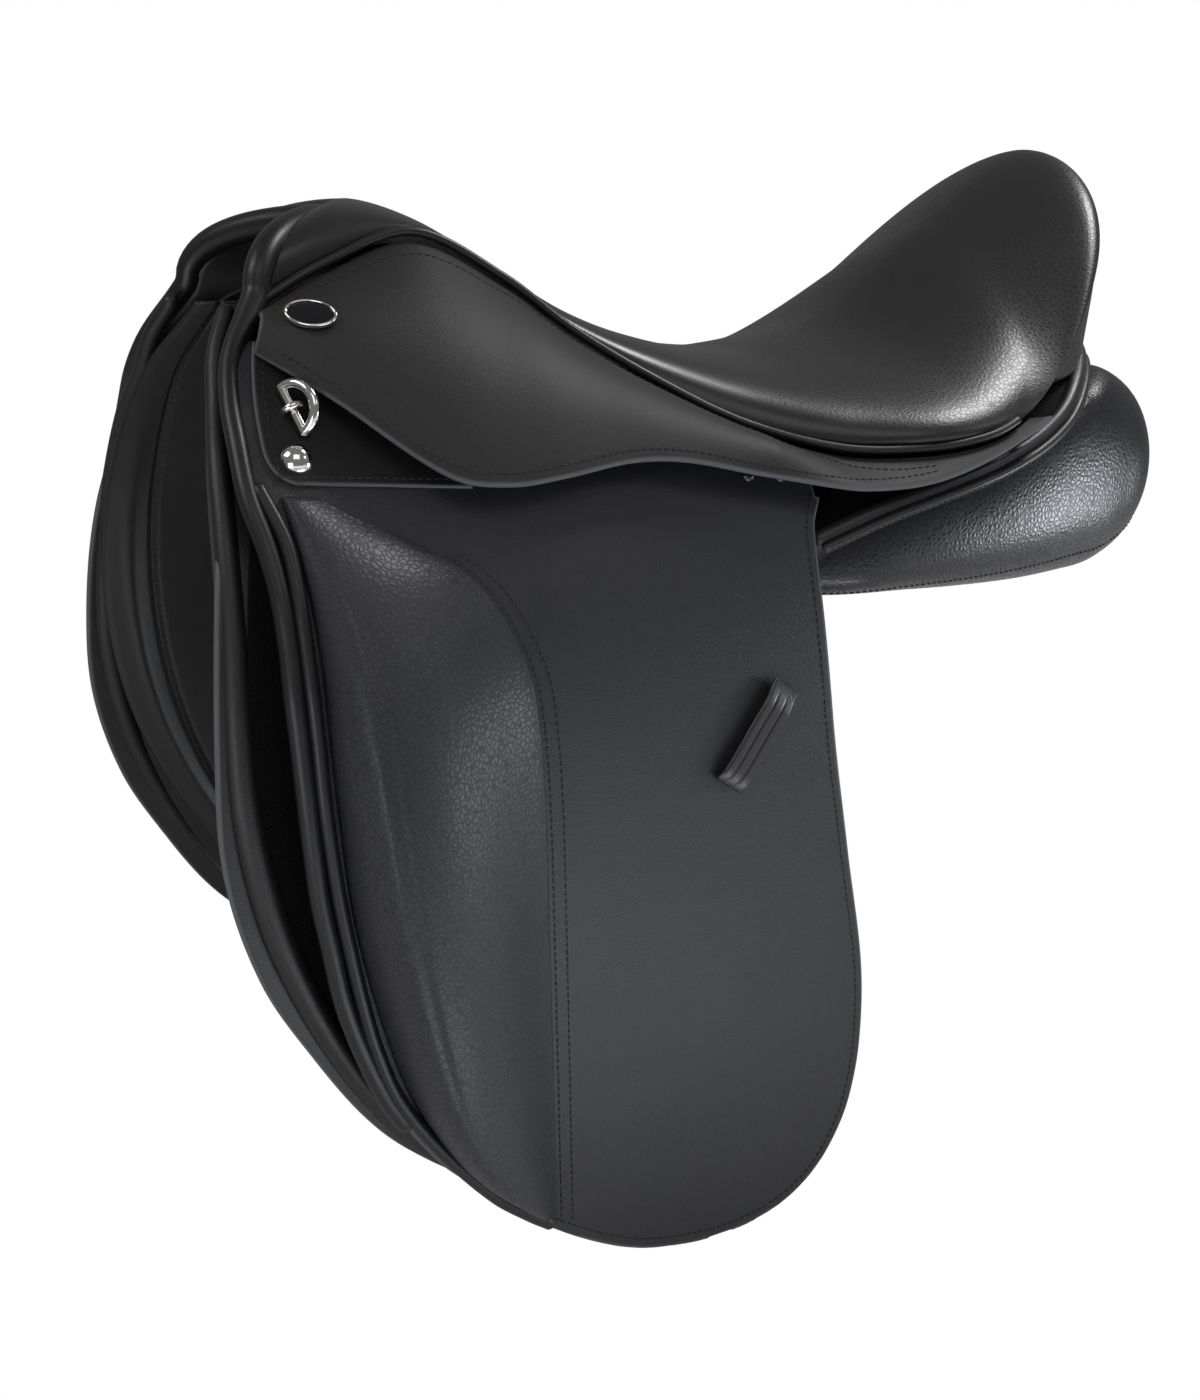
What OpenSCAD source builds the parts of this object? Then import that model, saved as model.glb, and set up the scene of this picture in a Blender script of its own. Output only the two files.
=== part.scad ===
// Dressage saddle, near and off side alike. Millimetres.
// +X points forward to the pommel, +Y to the near (left) side, +Z up.
// The origin lies on the centre plane, under the waist, at the top of the gullet channel.

/* [Seat] */
// height of the top of the pommel
pommel_z = 115; // [105:1:125]
// height of the lowest point of the seat
seat_low_z = 48; // [40:1:54]
// height of the top of the cantle
cantle_z = 139; // [125:1:150]
// widest half width of the seat, at the seam
seat_half = 129; // [122:1:134]
// length of the seat from the badge to the middle of the cantle
seat_length = 430; // [405:5:455]
// seat leather thickness
cover_t = 3; // [2:0.5:4]
// seat foam thickness
foam_t = 10; // [8:0.5:11]
// straining web thickness
web_t = 2; // [1:0.5:3]
// tree shell thickness
tree_t = 7; // [5:0.5:9]
// radius of the piping in the seat seam
welt_r = 2.2; // [1.5:0.1:2.6]
// radius of the padded roll round the pommel arch
arch_roll_r = 4.5; // [3.5:0.25:5.5]
// thickness of the steel springs under the tree
spring_t = 2; // [1.5:0.5:3]

/* [Skirt] */
// skirt leather thickness
skirt_t = 3.5; // [2.5:0.5:4.5]
// rise of the skirt over the stirrup bar
skirt_rise = 9; // [7:0.5:11]
// long axis of the oval badge
badge_w = 25; // [20:1:28]
// short axis of the oval badge
badge_h = 14; // [10:1:16]

/* [Flap] */
// drop of the flap below the origin
flap_drop = 344; // [320:2:370]
// flap leather thickness
flap_t = 5; // [4:0.5:6]
// height of the thigh block above the flap
block_h = 34; // [22:1:38]
// width of the strap keeper
keeper_w = 17; // [14:1:20]
// length of the strap keeper
keeper_l = 50; // [44:1:56]
// strap keeper leather thickness
keeper_t = 2.5; // [2:0.5:3.5]
// free height under the strap keeper
keeper_gap = 6; // [4.2:0.2:6]

/* [Under the flap] */
// gap between flap and sweat flap
girth_gap = 10.5; // [9.5:0.5:14]
// sweat flap leather thickness
sweat_t = 4; // [3:0.5:5]
// thickness of the front panel
front_t = 10; // [8:1:13]
// height of the knee roll on the front panel
knee_h = 12; // [8:1:15]
// billet strap width
billet_w = 26; // [22:1:30]
// billet strap thickness
billet_t = 4; // [3:0.5:4.5]
// billet strap length below its stitched root
billet_l = 176; // [150:2:190]
// punched hole radius in the billets
hole_r = 2.5; // [2:0.1:3]
// pitch of the punched holes
hole_pitch = 22; // [18:1:26]
// holes in each billet
hole_n = 6; // [4:1:6]

/* [Panel] */
// lowest point of the panels below the origin
panel_drop = 65; // [60:1:74]
// half width of the gullet channel
gullet_half = 34; // [28:1:38]
// radius of the panel bead
bead_r = 4.5; // [3.5:0.25:5]

/* [Metal] */
// dee ring wire radius
dee_r = 1.9; // [1.5:0.1:2.2]
// dee ring loop radius at the wire centre
dee_loop = 9.5; // [8.5:0.5:11]
// staple wire radius
staple_r = 1.4; // [1.1:0.1:1.7]
// radius of the dome nail
nail_r = 6.5; // [5:0.5:7]
// stirrup bar radius
bar_r = 3.2; // [2.6:0.2:3.6]
// stirrup bar length behind its root
bar_l = 58; // [50:1:64]
// free gap behind the stirrup bar
bar_gap = 6; // [5:0.5:6.5]
// stirrup bar plate thickness
plate_t = 3; // [2:0.5:3.5]

/* [Hidden] */
// clearance between neighbouring pieces
gap = 0.3;
BLACK = [0.13, 0.13, 0.14];
WARM = [0.16, 0.15, 0.14];
STEEL = [0.75, 0.76, 0.78];

function mix(a, b, f) = a + (b - a) * f;
function unit(v) = v / norm(v);
// slope of a key list at key i
function slope(K, i) = let (a = max(i - 1, 0), b = min(i + 1, len(K) - 1))
  (K[b][1] - K[a][1]) / (K[b][0] - K[a][0]);
// last key not above v
function seek(K, v) = max([0, for (i = [0 : len(K) - 2]) if (K[i][0] <= v) i]);
// smooth curve through the keys, straight beyond the ends
function curve(K, v) = let (i = seek(K, v), h = K[i + 1][0] - K[i][0],
    f = max(0, min(1, (v - K[i][0]) / h)), m = slope(K, i), n = slope(K, i + 1),
    e = v - max(K[0][0], min(K[len(K) - 1][0], v)))
  (2 * pow(f, 3) - 3 * f * f + 1) * K[i][1] + (pow(f, 3) - 2 * f * f + f) * h * m
  + (3 * f * f - 2 * pow(f, 3)) * K[i + 1][1] + (pow(f, 3) - f * f) * h * n + e * (e < 0 ? m : n);
// even steps from a to b
function steps(a, b, n) = [for (i = [0 : n]) mix(a, b, i / n)];

// closed solid between an outer and an inner grid of points
module shell(A, B) {
  m = len(A);
  n = len(A[0]);
  o = m * n;
  rim = concat([for (j = [0 : n - 2]) j], [for (i = [0 : m - 2]) i * n + n - 1],
    [for (j = [n - 1 : -1 : 1]) (m - 1) * n + j], [for (i = [m - 1 : -1 : 1]) i * n]);
  cells = [for (i = [0 : m - 2]) for (j = [0 : n - 2]) i * n + j];
  polyhedron(
    points = [for (r = A) each r, for (r = B) each r],
    faces = concat(
      [for (c = cells) each [[c, c + 1, c + n + 1], [c, c + n + 1, c + n]]],
      [for (c = cells) each [[o + c, o + c + n + 1, o + c + 1], [o + c, o + c + n, o + c + n + 1]]],
      [for (k = [0 : len(rim) - 1]) let (a = rim[k], b = rim[(k + 1) % len(rim)])
        each [[a, o + a, o + b], [a, o + b, b]]]));
}

// solid through closed rings of points with flat ends
module loft(R) {
  n = len(R[0]);
  last = (len(R) - 1) * n;
  polyhedron(
    points = [for (r = R) each r],
    faces = concat(
      [for (i = [0 : len(R) - 2]) for (j = [0 : n - 1]) let (a = i * n + j, b = i * n + (j + 1) % n)
        each [[a, b, b + n], [a, b + n, a + n]]],
      [[for (j = [n - 1 : -1 : 0]) j]],
      [[for (j = [0 : n - 1]) last + j]]));
}

// round cord of radius r along a path, up is never along the path
module cord(path, r, up, sides = 10) {
  m = len(path) - 1;
  loft([for (i = [0 : m]) let (t = unit(path[min(i + 1, m)] - path[max(i - 1, 0)]),
      a = unit(cross(t, up)), b = cross(a, t))
    [for (k = [0 : sides - 1]) path[i] + r * (cos(360 * k / sides) * a + sin(360 * k / sides) * b)]]);
}

module off_side() mirror([0, 1, 0]) children();

// put local X along u and local Z along w at point p
module place(p, u, w) {
  z = unit(w);
  y = unit(cross(z, u));
  x = cross(y, z);
  multmatrix([[x[0], y[0], z[0], p[0]], [x[1], y[1], z[1], p[1]], [x[2], y[2], z[2], p[2]], [0, 0, 0, 1]])
    children();
}

// the part of the seat behind the waist carries the seat length
function rear(x) = x > -10 ? x : -10 + (x + 10) * (seat_length - 210) / 220;
// seat seam from the front corner to the side of the cantle, at stations 0 to 12
SEAM = [[0, [216, 54, 75]], [1, [184, 50, pommel_z - 24]], [2, [146, 46, pommel_z - 13]],
  [3, [108, 48, 84]], [4, [80, 54, 63]], [5, [48, 64, 43]], [6, [12, 85, 23]], [7, [rear(-25), 108, 12]],
  [8, [rear(-62), seat_half - 7, 11]], [9, [rear(-92), seat_half - 1, 15]],
  [10, [rear(-113), seat_half - 3, 22]], [11, [rear(-128), seat_half - 11, 27]],
  [12, [rear(-138), seat_half - 20, 31]]];
// centre line of the seat over the cantle to the rear seam
SPINE = [[0, [166, 0, pommel_z - 4]], [1, [157, 0, pommel_z]], [2, [130, 0, pommel_z - 9]],
  [3, [98, 0, 87]], [4, [66, 0, seat_low_z + 22]], [5, [34, 0, seat_low_z + 9]],
  [6, [-5, 0, seat_low_z + 0.5]], [7, [rear(-45), 0, seat_low_z]], [8, [rear(-98), 0, seat_low_z + 13]],
  [9, [rear(-156), 0, 96]], [10, [rear(-223), 0, cantle_z]], [11, [rear(-236), 0, 106]],
  [12, [rear(-227), 0, 46]]];
SWELL = [[0, 0], [4, 0], [8, 0.05], [11, 0.05], [12, 0]];
// fullness of the cross section: below 1 squarer, above 1 flatter
FULL_W = [[0, 0.8], [5, 0.8], [8, 1.25], [10, 1.4], [12, 1]];
FULL_H = [[0, 0.8], [5, 0.85], [7, 1.2], [9, 1.95], [10, 1.55], [11, 1.1], [12, 0.95]];
// plan of the cross sections: pointed at the cut-back head, round at the cantle
ROUND = [[0, 0], [1, 0], [5, 1], [12, 1]];

// seat surface at station s and angle f from the near seam over the top, d below it
function seat(s, f, d = 0) = let (p = curve(SEAM, s), c = curve(SPINE, s), g = f > 90 ? 180 - f : f,
    w = pow(max(cos(g), 0), curve(FULL_W, s)), h = pow(max(sin(g), 0), curve(FULL_H, s)),
    y = p[1] * (w + curve(SWELL, s) * sin(2 * g) * cos(g)),
    x = mix(1 - pow(w, 1.25), pow(max(sin(g), 0), 0.9), min(1, max(0, curve(ROUND, s)))),
    q = [mix(p[0], c[0], x), f > 90 ? -y : y, mix(p[2], c[2], h)],
    a = [(p[0] + c[0]) / 2, 0, p[2] - 45])
  q + d * unit(a - q);
// one layer of the seat between two stations and two angles, on stations shared by all layers
module seat_layer(d, t, s0, s1, f0, f1) {
  S = [for (k = [0 : 24]) if (k / 2 >= s0 && k / 2 <= s1) k / 2];
  F = [for (k = [0 : 20]) if (9 * k >= f0 && 9 * k <= f1) 9 * k];
  A = s0 % 0.5 == 0 ? S : concat([s0], S);
  shell([for (s = A) [for (f = F) seat(s, f, d)]], [for (s = A) [for (f = F) seat(s, f, d + t)]]);
}
FOAM_D = cover_t + gap;
WEB_D = FOAM_D + foam_t + gap;
TREE_D = WEB_D + web_t + gap;
SPRING_D = TREE_D + tree_t + gap;

// half width of the outer flap face at height z
SIDE = [[-350, 148], [-225, 144.5], [-100, 141], [-54, 135], [-20, 124], [5, 109.5], [17, 101],
  [43, 83], [66, 63], [80, 49], [111, 18]];
function side(z) = curve(SIDE, z);
// heights below the flap fold stretch with the flap drop
function low(z) = z > -50 ? z : -50 + (z + 50) * (flap_drop - 50) / 294;
// grid point between a front and a rear edge given as height keys, d inside the flap face
function sheet(E, q, g, d) = let (a = curve(E[0], q), b = curve(E[1], q), v = mix(a, b, g), z = low(v[1]))
  [v[0], side(z) - d, z];
module side_sheet(E, Q, G, d, t) shell([for (q = Q) [for (g = G) sheet(E, q, g, d)]],
  [for (q = Q) [for (g = G) sheet(E, q, g, d + t)]]);

// fold line of the flap, outer face
FOLD_A = [245, side(14), 14];
FOLD_B = [-10, side(-8), -8];
function fold_z(x) = mix(FOLD_B[2], FOLD_A[2], (x - FOLD_B[0]) / (FOLD_A[0] - FOLD_B[0]));
SWEAT_D = flap_t + girth_gap;
FRONT_D = SWEAT_D + sweat_t + 3 * gap;
POINT_D = flap_t + 0.8;
POINT_T = SWEAT_D - POINT_D - gap;

// flap front and rear edges from the fold to the bottom
FLAP_E = [
  [[0, [241, fold_z(241) - gap]], [0.15, [243, -35]], [0.3, [241, -91]], [0.45, [233, -155]], [0.6, [214, -215]],
   [0.72, [190, -259]], [0.84, [155, -297]], [0.93, [118, -325]], [1, [82, -340]]],
  [[0, [-10, fold_z(-10) - gap]], [0.15, [-7, -50]], [0.3, [-10, -105]], [0.45, [-18, -165]], [0.6, [-27, -225]],
   [0.72, [-27, -268]], [0.84, [-16, -308]], [0.93, [4, -333]], [1, [36, -344]]]];
// sweat flap edges
SWEAT_E = [
  [[0, [236, 34]], [0.15, [252, -25]], [0.3, [260, -80]], [0.45, [261, -125]], [0.6, [251, -170]],
   [0.72, [234, -206]], [0.84, [212, -243]], [0.93, [189, -268]], [1, [150, -300]]],
  [[0, [30, -4]], [0.3, [28, -100]], [0.6, [15, -200]], [0.8, [15, -265]], [1, [60, -315]]]];
// front panel edges, up to the arch
FRONT_E = [
  [[0, [214, 72]], [0.15, [235, 40]], [0.3, [246, 0]], [0.45, [255, -60]], [0.6, [257, -115]],
   [0.75, [246, -163]], [0.88, [222, -213]], [1, [185, -262]]],
  [[0, [150, 72]], [0.15, [125, 40]], [0.3, [100, 0]], [0.45, [85, -60]], [0.6, [80, -115]],
   [0.75, [78, -165]], [0.88, [80, -215]], [1, [100, -268]]]];

module tree_frame() color(STEEL) {
  difference() {
    union() {
      seat_layer(TREE_D, tree_t, 1, 6.5, 9, 171);
      seat_layer(TREE_D, tree_t, 6, 10.5, 27, 153);
    }
    hull() {
      translate([52, 0, -50]) cylinder(h = 300, r = 17, $fn = 24);
      translate([rear(-110), 0, -50]) cylinder(h = 300, r = 36, $fn = 24);
    }
  }
  tree_point();
  mirror([0, 1, 0]) tree_point();
}
// upper edge of the tree points along the saddle
POINT_TOP = [[92, 50], [120, 68], [150, 86], [185, 80], [218, 60]];
module tree_point() {
  V = steps(0, 1, 5);
  X = steps(0, 1, 6);
  function at(v, g, d) = let (x = mix(218, 92, g), z = mix(curve(POINT_TOP, x), 19, v)) [x, side(z) - d, z];
  shell([for (v = V) [for (g = X) at(v, g, POINT_D)]],
    [for (v = V) [for (g = X) at(v, g, POINT_D + POINT_T)]]);
}
module tree_spring_near() color(STEEL) seat_layer(SPRING_D, spring_t, 2.5, 7.5, 36, 45);
module tree_spring_off() off_side() tree_spring_near();
module seat_webs() color(WARM) seat_layer(WEB_D, web_t, 1.5, 10, 63, 117);
module seat_foam() color(WARM) seat_layer(FOAM_D, foam_t, 0.5, 10, 27, 153);
module seat_cover() color(WARM) seat_layer(0, cover_t, 0.2, 12, 0, 180);

// place of the seam piping
function seam_at(s) = curve(SEAM, s) + [0, 0.8 + welt_r, -1];
module seat_welt_near() color(WARM) cord([for (s = steps(0.08, 9.8, 30)) seam_at(s)], welt_r, [0, 0, 1], 8);
module seat_welt_off() off_side() seat_welt_near();
// binding round the back of the cantle
module cantle_roll() color(WARM) cord([for (f = steps(12, 168, 24)) let (p = seat(12, f))
  p + [-2, 1.4 * cos(f), -1.2 - bead_r]], bead_r - 0.5, [0, 0, 1], 8);
// front edge of the upper flap by height
HEAD_X = [[-10, 240], [17, 240], [43, 235], [66, 226], [80, 213]];
// padded roll round the pommel arch, down both sides to the flap folds
ROLL_OUT = arch_roll_r + 1.2;
ARCH = concat([for (z = [16, 28, 40, 52, 62]) [curve(HEAD_X, z) + ROLL_OUT, side(z) - 2.5, z]],
  [for (f = steps(9, 90, 7)) seat(0, f) + [ROLL_OUT * 0.8, 0, -ROLL_OUT * 0.5]]);
module pommel_roll() color(BLACK) cord(concat(ARCH, [for (i = [len(ARCH) - 2 : -1 : 0])
  [ARCH[i][0], -ARCH[i][1], ARCH[i][2]]]), arch_roll_r, [1, 0, 0.2], 10);

// flocked panel: centre, half width and half height along the saddle
PANEL = [[-256, [70, -15, 5, 7]], [-251, [70, -15, 20, 25]], [-238, [70, -14, 31, 43]],
  [-215, [71, -15.5, 36, 48]], [-185, [73, -17, 39, 47]], [-150, [75, -23.5, 41, 41]],
  [-110, [76, -33, 42, 31]], [-70, [76, -40, 42, 23]], [-35, [74, -45, 40, 16]], [0, [66, -46, 32, 13]],
  [60, [58, -44, 24, 12]], [100, [53, -42, 16, 9]], [118, [50, -41, 6, 4]]];
// the panel widens with the seat towards the rear
function widen(x) = (seat_half - 129) / 2 * min(max((-x - 40) / 100, 0), 1);
function panel_in(x) = let (p = curve(PANEL, x), k = widen(x))
  [p[0] + gullet_half - 34 + k, p[1] + 65 - panel_drop, p[2] + k, p[3]];
function round_to(v, n) = sign(v) * pow(abs(v), n);
function panel(x, t, d = 0) = let (p = panel_in(x))
  [rear(x), p[0] + (p[2] + d) * round_to(cos(t), 0.75), p[1] + (p[3] + d) * round_to(sin(t), 0.75)];
module panel_near() color(BLACK) loft([for (x = [118, 108, 85, 55, 25, 0, -25, -50, -80, -115, -150, -185,
  -210, -228, -240, -248, -253, -256]) [for (t = [0 : 20 : 340]) panel(x, t)]]);
module panel_off() off_side() panel_near();
// bead along the upper outer edge of the panel
module panel_roll_near() color(BLACK) cord([for (x = [-40, -65, -95, -125, -150, -170])
  panel(x, 52 + (x + 40) * -0.12, bead_r + 0.6)], bead_r, [0, 1, 0], 8);
module panel_roll_off() off_side() panel_roll_near();
// leather strip that closes the top of the channel
function lining_at(x, k, d) = let (p = panel_in(x))
  [rear(x), k * (p[0] - p[2] - 0.5), p[1] + 4 * (1 - k * k) + d];
module gullet_lining() color(BLACK) {
  X = steps(40, -225, 12);
  K = [1, 0.5, 0, -0.5, -1];
  shell([for (x = X) [for (k = K) lining_at(x, k, 2.5)]], [for (x = X) [for (k = K) lining_at(x, k, 0)]]);
}

function front_pad(q, g) = front_t * (0.35 + 0.65 * pow(sin(180 * min(max(g, 0.03), 0.97)), 0.3))
    + knee_h * (g < 0.3 ? pow(sin(600 * g), 2) : 0) * sin(180 * min(max((q - 0.2) / 0.8, 0), 1));
module panel_front_near() color(BLACK) {
  Q = steps(0, 1, 14);
  G = [0, 0.04, 0.09, 0.15, 0.22, 0.3, 0.5, 0.75, 1];
  shell([for (q = Q) [for (g = G) sheet(FRONT_E, q, g, FRONT_D)]],
    [for (q = Q) [for (g = G) sheet(FRONT_E, q, g, FRONT_D + front_pad(q, g))]]);
}
module panel_front_off() off_side() panel_front_near();
module sweat_flap_near() color(BLACK) side_sheet(SWEAT_E, steps(0, 1, 16), steps(0, 1, 6), SWEAT_D, sweat_t);
module sweat_flap_off() off_side() sweat_flap_near();
module hook_strip_near() color(BLACK) side_sheet(SWEAT_E, steps(0.22, 0.88, 10), [0.06, 0.12, 0.18],
  SWEAT_D - 2, 2 - gap);
module hook_strip_off() off_side() hook_strip_near();

// girth webs from the tree points to the stitched roots of the billets
BILLET_X = [128, 62];
BILLET_TOP = -104;
WEB_OUT = SWEAT_D - 2.2;
module girth_web_near() color(WARM) for (x = BILLET_X) {
  Z = steps(16, BILLET_TOP - 30, 9);
  shell([for (z = Z) [for (k = [15, -15]) [x + k, side(z) - WEB_OUT, z]]],
    [for (z = Z) [for (k = [15, -15]) [x + k, side(z) - WEB_OUT - 1.9, z]]]);
}
module girth_web_off() off_side() girth_web_near();
// straight punched strap, hanging along the inner face of the flap
LEAN = atan((side(-300) - side(-100)) / 200);
module billet(x) color(BLACK)
  translate([x, side(BILLET_TOP) - WEB_OUT + 0.7, BILLET_TOP]) rotate([LEAN, 0, 0]) rotate([90, 0, 0])
    mirror([0, 0, 1]) linear_extrude(billet_t) difference() {
      union() {
        translate([-billet_w / 2, -billet_l + billet_w / 2]) square([billet_w, billet_l - billet_w / 2 + 16]);
        translate([0, -billet_l + billet_w / 2]) circle(r = billet_w / 2, $fn = 48);
      }
      for (k = [0 : hole_n - 1]) translate([0, -billet_l + 22 + k * hole_pitch]) circle(r = hole_r, $fn = 32);
    }
module billet_front_near() billet(BILLET_X[0]);
module billet_front_off() off_side() billet_front_near();
module billet_rear_near() billet(BILLET_X[1]);
module billet_rear_off() off_side() billet_rear_near();

// upper flap, nailed to the tree, cut low round the stirrup bar
HEAD_TOP = [[0, 63], [0.1, 62], [0.17, 48], [0.23, 29], [0.5, 26], [0.8, 11], [1, 1]];
function head_at(v, g, d) = let (x0 = mix(240, -8, g), z = mix(curve(HEAD_TOP, g), fold_z(x0), v))
  [mix(curve(HEAD_X, z), -8, g), side(z) - d, z];
module flap_head_near() color(BLACK) {
  V = steps(0, 1, 6);
  G = [0, 0.03, 0.06, 0.1, 0.14, 0.18, 0.23, 0.35, 0.5, 0.65, 0.8, 1];
  shell([for (v = V) [for (g = G) head_at(v, g, 0)]], [for (v = V) [for (g = G) head_at(v, g, flap_t)]]);
}
module flap_head_off() off_side() flap_head_near();
module flap_near() color(BLACK) side_sheet(FLAP_E, steps(0, 1, 20), steps(0, 1, 7), 0, flap_t);
module flap_off() off_side() flap_near();

// thigh block: crest near its front edge, sloping away to the rear seam
BLOCK_REAR = [[0, 226], [0.03, 202], [0.06, 176], [0.1, 158], [0.16, 146], [0.23, 139], [0.5, 137], [0.9, 137]];
BLOCK_RISE = [[0, 0.3], [0.05, 0.5], [0.12, 0.75], [0.25, 0.95], [0.4, 1], [0.6, 0.95], [0.75, 0.75], [0.88, 0.3]];
function swell(u) = u < 0.16 ? pow(max(sin(90 * u / 0.16), 0), 0.4) : pow(cos(90 * (u - 0.16) / 0.84), 1.25);
// block point at row q, share u from front to rear edge, h above the flap
function block_at(q, u, h) = let (a = curve(FLAP_E[0], q), b = curve(FLAP_E[1], q),
    g = u * (a[0] - curve(BLOCK_REAR, q)) / (a[0] - b[0])) sheet(FLAP_E, q, g, -0.8 - h) + [0.32 * h * pow(1 - u, 4), 0, 0];
module thigh_block_near() color(BLACK) {
  Q = [0.005, 0.02, 0.04, 0.07, 0.11, 0.16, 0.22, 0.3, 0.38, 0.46, 0.54, 0.62, 0.7, 0.78, 0.84, 0.88];
  U = [0, 0.02, 0.05, 0.1, 0.16, 0.25, 0.38, 0.55, 0.77, 1];
  shell([for (q = Q) [for (u = U) block_at(q, u, 1.2 + block_h * curve(BLOCK_RISE, q) * swell(u))]],
    [for (q = Q) [for (u = U) block_at(q, u, 0)]]);
}
module thigh_block_off() off_side() thigh_block_near();

// strap keeper, a low leather bridge across the rear of the flap
KEEP_P = [39, side(-100), -100];
module strap_keeper_near() color(BLACK) place(KEEP_P + [0, gap, 0], [28, 0, -47] / 55, [0, 1, 0])
  rotate([90, 0, 0]) translate([0, 0, -keeper_w / 2]) linear_extrude(keeper_w) polygon([
    [-keeper_l / 2, 1.2], [-keeper_l / 2 + 9, 1.2], [-keeper_l / 2 + 12, keeper_gap + 1],
    [keeper_l / 2 - 12, keeper_gap + 1.6], [keeper_l / 2 - 9, 1.2], [keeper_l / 2, 1.2],
    [keeper_l / 2, 1.2 + keeper_t], [keeper_l / 2 - 7, 1.2 + keeper_t],
    [keeper_l / 2 - 11, keeper_gap + 1.6 + keeper_t], [-keeper_l / 2 + 11, keeper_gap + 1 + keeper_t],
    [-keeper_l / 2 + 7, 1.2 + keeper_t], [-keeper_l / 2, 1.2 + keeper_t]]);
module strap_keeper_off() off_side() strap_keeper_near();

// outward direction square to the flap face at height z
function out_at(z) = let (k = (side(z + 2) - side(z - 2)) / 4) unit([0, 1, -k]);
module on_side(x, z, lift = 0) place([x, side(z), z] + lift * out_at(z), [1, 0, 0], out_at(z)) children();
module dome(r, h) intersection() {
  R = (r * r + h * h) / (2 * h);
  translate([0, 0, h - R]) sphere(r = R, $fn = 48);
  cylinder(h = h + 1, r = r + 1, $fn = 48);
}
module flap_tacks_near() color(STEEL) for (p = [[24, 3], [8, 1.5]]) on_side(p[0], p[1], gap) dome(3, 1.8);
module flap_tacks_off() off_side() flap_tacks_near();
module dome_nail_near() color(STEEL) on_side(215, 22, 0.6) dome(nail_r, 4.5);
module dome_nail_off() off_side() dome_nail_near();

// dee ring hung by its straight bar in a staple
DEE_Z = 37;
DEE_LIFT = 4.2;
DEE_P = [213, side(DEE_Z), DEE_Z] + DEE_LIFT * out_at(DEE_Z);
DEE_U = unit([0.22, -out_at(DEE_Z)[2], out_at(DEE_Z)[1]]);
module dee_ring_near() color(STEEL) place(DEE_P, [0.6, 0, 0] - 0.8 * out_at(DEE_Z), DEE_U) {
  translate([0, 0, -dee_loop]) cylinder(h = 2 * dee_loop, r = dee_r, $fn = 32);
  for (k = [-1, 1]) translate([0, 0, k * dee_loop]) sphere(r = dee_r, $fn = 32);
  rotate([90, 0, 0]) rotate([0, 0, 90]) rotate_extrude(angle = 180, $fn = 64) translate([dee_loop, 0])
    circle(r = dee_r, $fn = 24);
}
module dee_ring_off() off_side() dee_ring_near();
EYE = dee_r + gap + staple_r;
module dee_staple_near() color(STEEL) place(DEE_P, [1, 0, 0], DEE_U) difference() {
  union() {
    rotate_extrude(angle = 180, $fn = 48) translate([EYE, 0]) circle(r = staple_r, $fn = 20);
    for (k = [-1, 1]) translate([k * EYE, 0, 0]) rotate([90, 0, 0]) cylinder(h = DEE_LIFT - 0.6, r = staple_r, $fn = 20);
  }
  cylinder(h = 30, r = dee_r + gap / 2, center = true, $fn = 32);
}
module dee_staple_off() off_side() dee_staple_near();

// stirrup bar: plate on the tree point, bar standing off it, open to the rear
BAR_Z = 42;
BAR_P = [132, side(BAR_Z) - POINT_D, BAR_Z] + gap * out_at(BAR_Z);
BAR_H = plate_t + bar_gap + bar_r;
module stirrup_bar_near() color(STEEL) place(BAR_P, [1, 0, 0], out_at(BAR_Z)) {
  translate([-bar_l / 2 - 8, -9, 0]) cube([bar_l + 24, 18, plate_t]);
  translate([bar_l / 2 + 4, -bar_r, 0]) cube([8, 2 * bar_r, BAR_H + bar_r]);
  translate([-bar_l / 2 + 12, 0, BAR_H]) rotate([0, 90, 0]) cylinder(h = bar_l - 4, r = bar_r, $fn = 40);
}
module stirrup_bar_off() off_side() stirrup_bar_near();
// thumb catch pinned in the rear end of the plate, turned up to hold the leather
CATCH_X = -bar_l / 2 + 2;
CATCH_Z = plate_t + gap + 2.2;
module bar_catch_near() color(STEEL) place(BAR_P, [1, 0, 0], out_at(BAR_Z)) {
  translate([CATCH_X, -5, CATCH_Z]) rotate([-90, 0, 0]) cylinder(h = 10, r = 2.2, $fn = 32);
  translate([CATCH_X - 1.5, -4, CATCH_Z]) cube([3, 8, BAR_H - CATCH_Z]);
}
module bar_catch_off() off_side() bar_catch_near();

// skirt from the seat seam to its free lower edge
HEM = [[0, [223, 72, 59]], [1, [199, 98, 42]], [2, [164, 121, 15]], [2.6, [140, 126, 10.5]],
  [3, [118, 126, 12]], [4, [85, 122, 15]], [5, [58, 123, 13]], [6, [20, 128, 4]], [7, [rear(-20), 133.5, -2]],
  [8, [rear(-55), seat_half + 8, -2]], [9, [rear(-88), seat_half + 8.5, 6]],
  [10, [rear(-120), seat_half + 5, 17.5]], [10.5, [rear(-133), seat_half + 0.5, 22]]];
function skirt_out(s, v) = mix(curve(SEAM, s) + [0, 2.4, -4.3], curve(HEM, s), v)
  + [0, 1, 0.7] * skirt_rise * sin(180 * v) * (s < 6 ? 1 : max(0, 7 - s));
function skirt_in(s, v) = let (a = skirt_out(s, v),
    n = unit(cross(skirt_out(s, min(v + 0.05, 1)) - skirt_out(s, max(v - 0.05, 0)),
      skirt_out(min(s + 0.1, 10.4), v) - skirt_out(max(s - 0.1, 0.05), v)))) a - skirt_t * n;
module skirt_whole() {
  S = steps(0.05, 10.4, 30);
  V = steps(0, 1, 6);
  shell([for (v = V) [for (s = S) skirt_out(s, v)]], [for (v = V) [for (s = S) skirt_in(s, v)]]);
}
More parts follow.
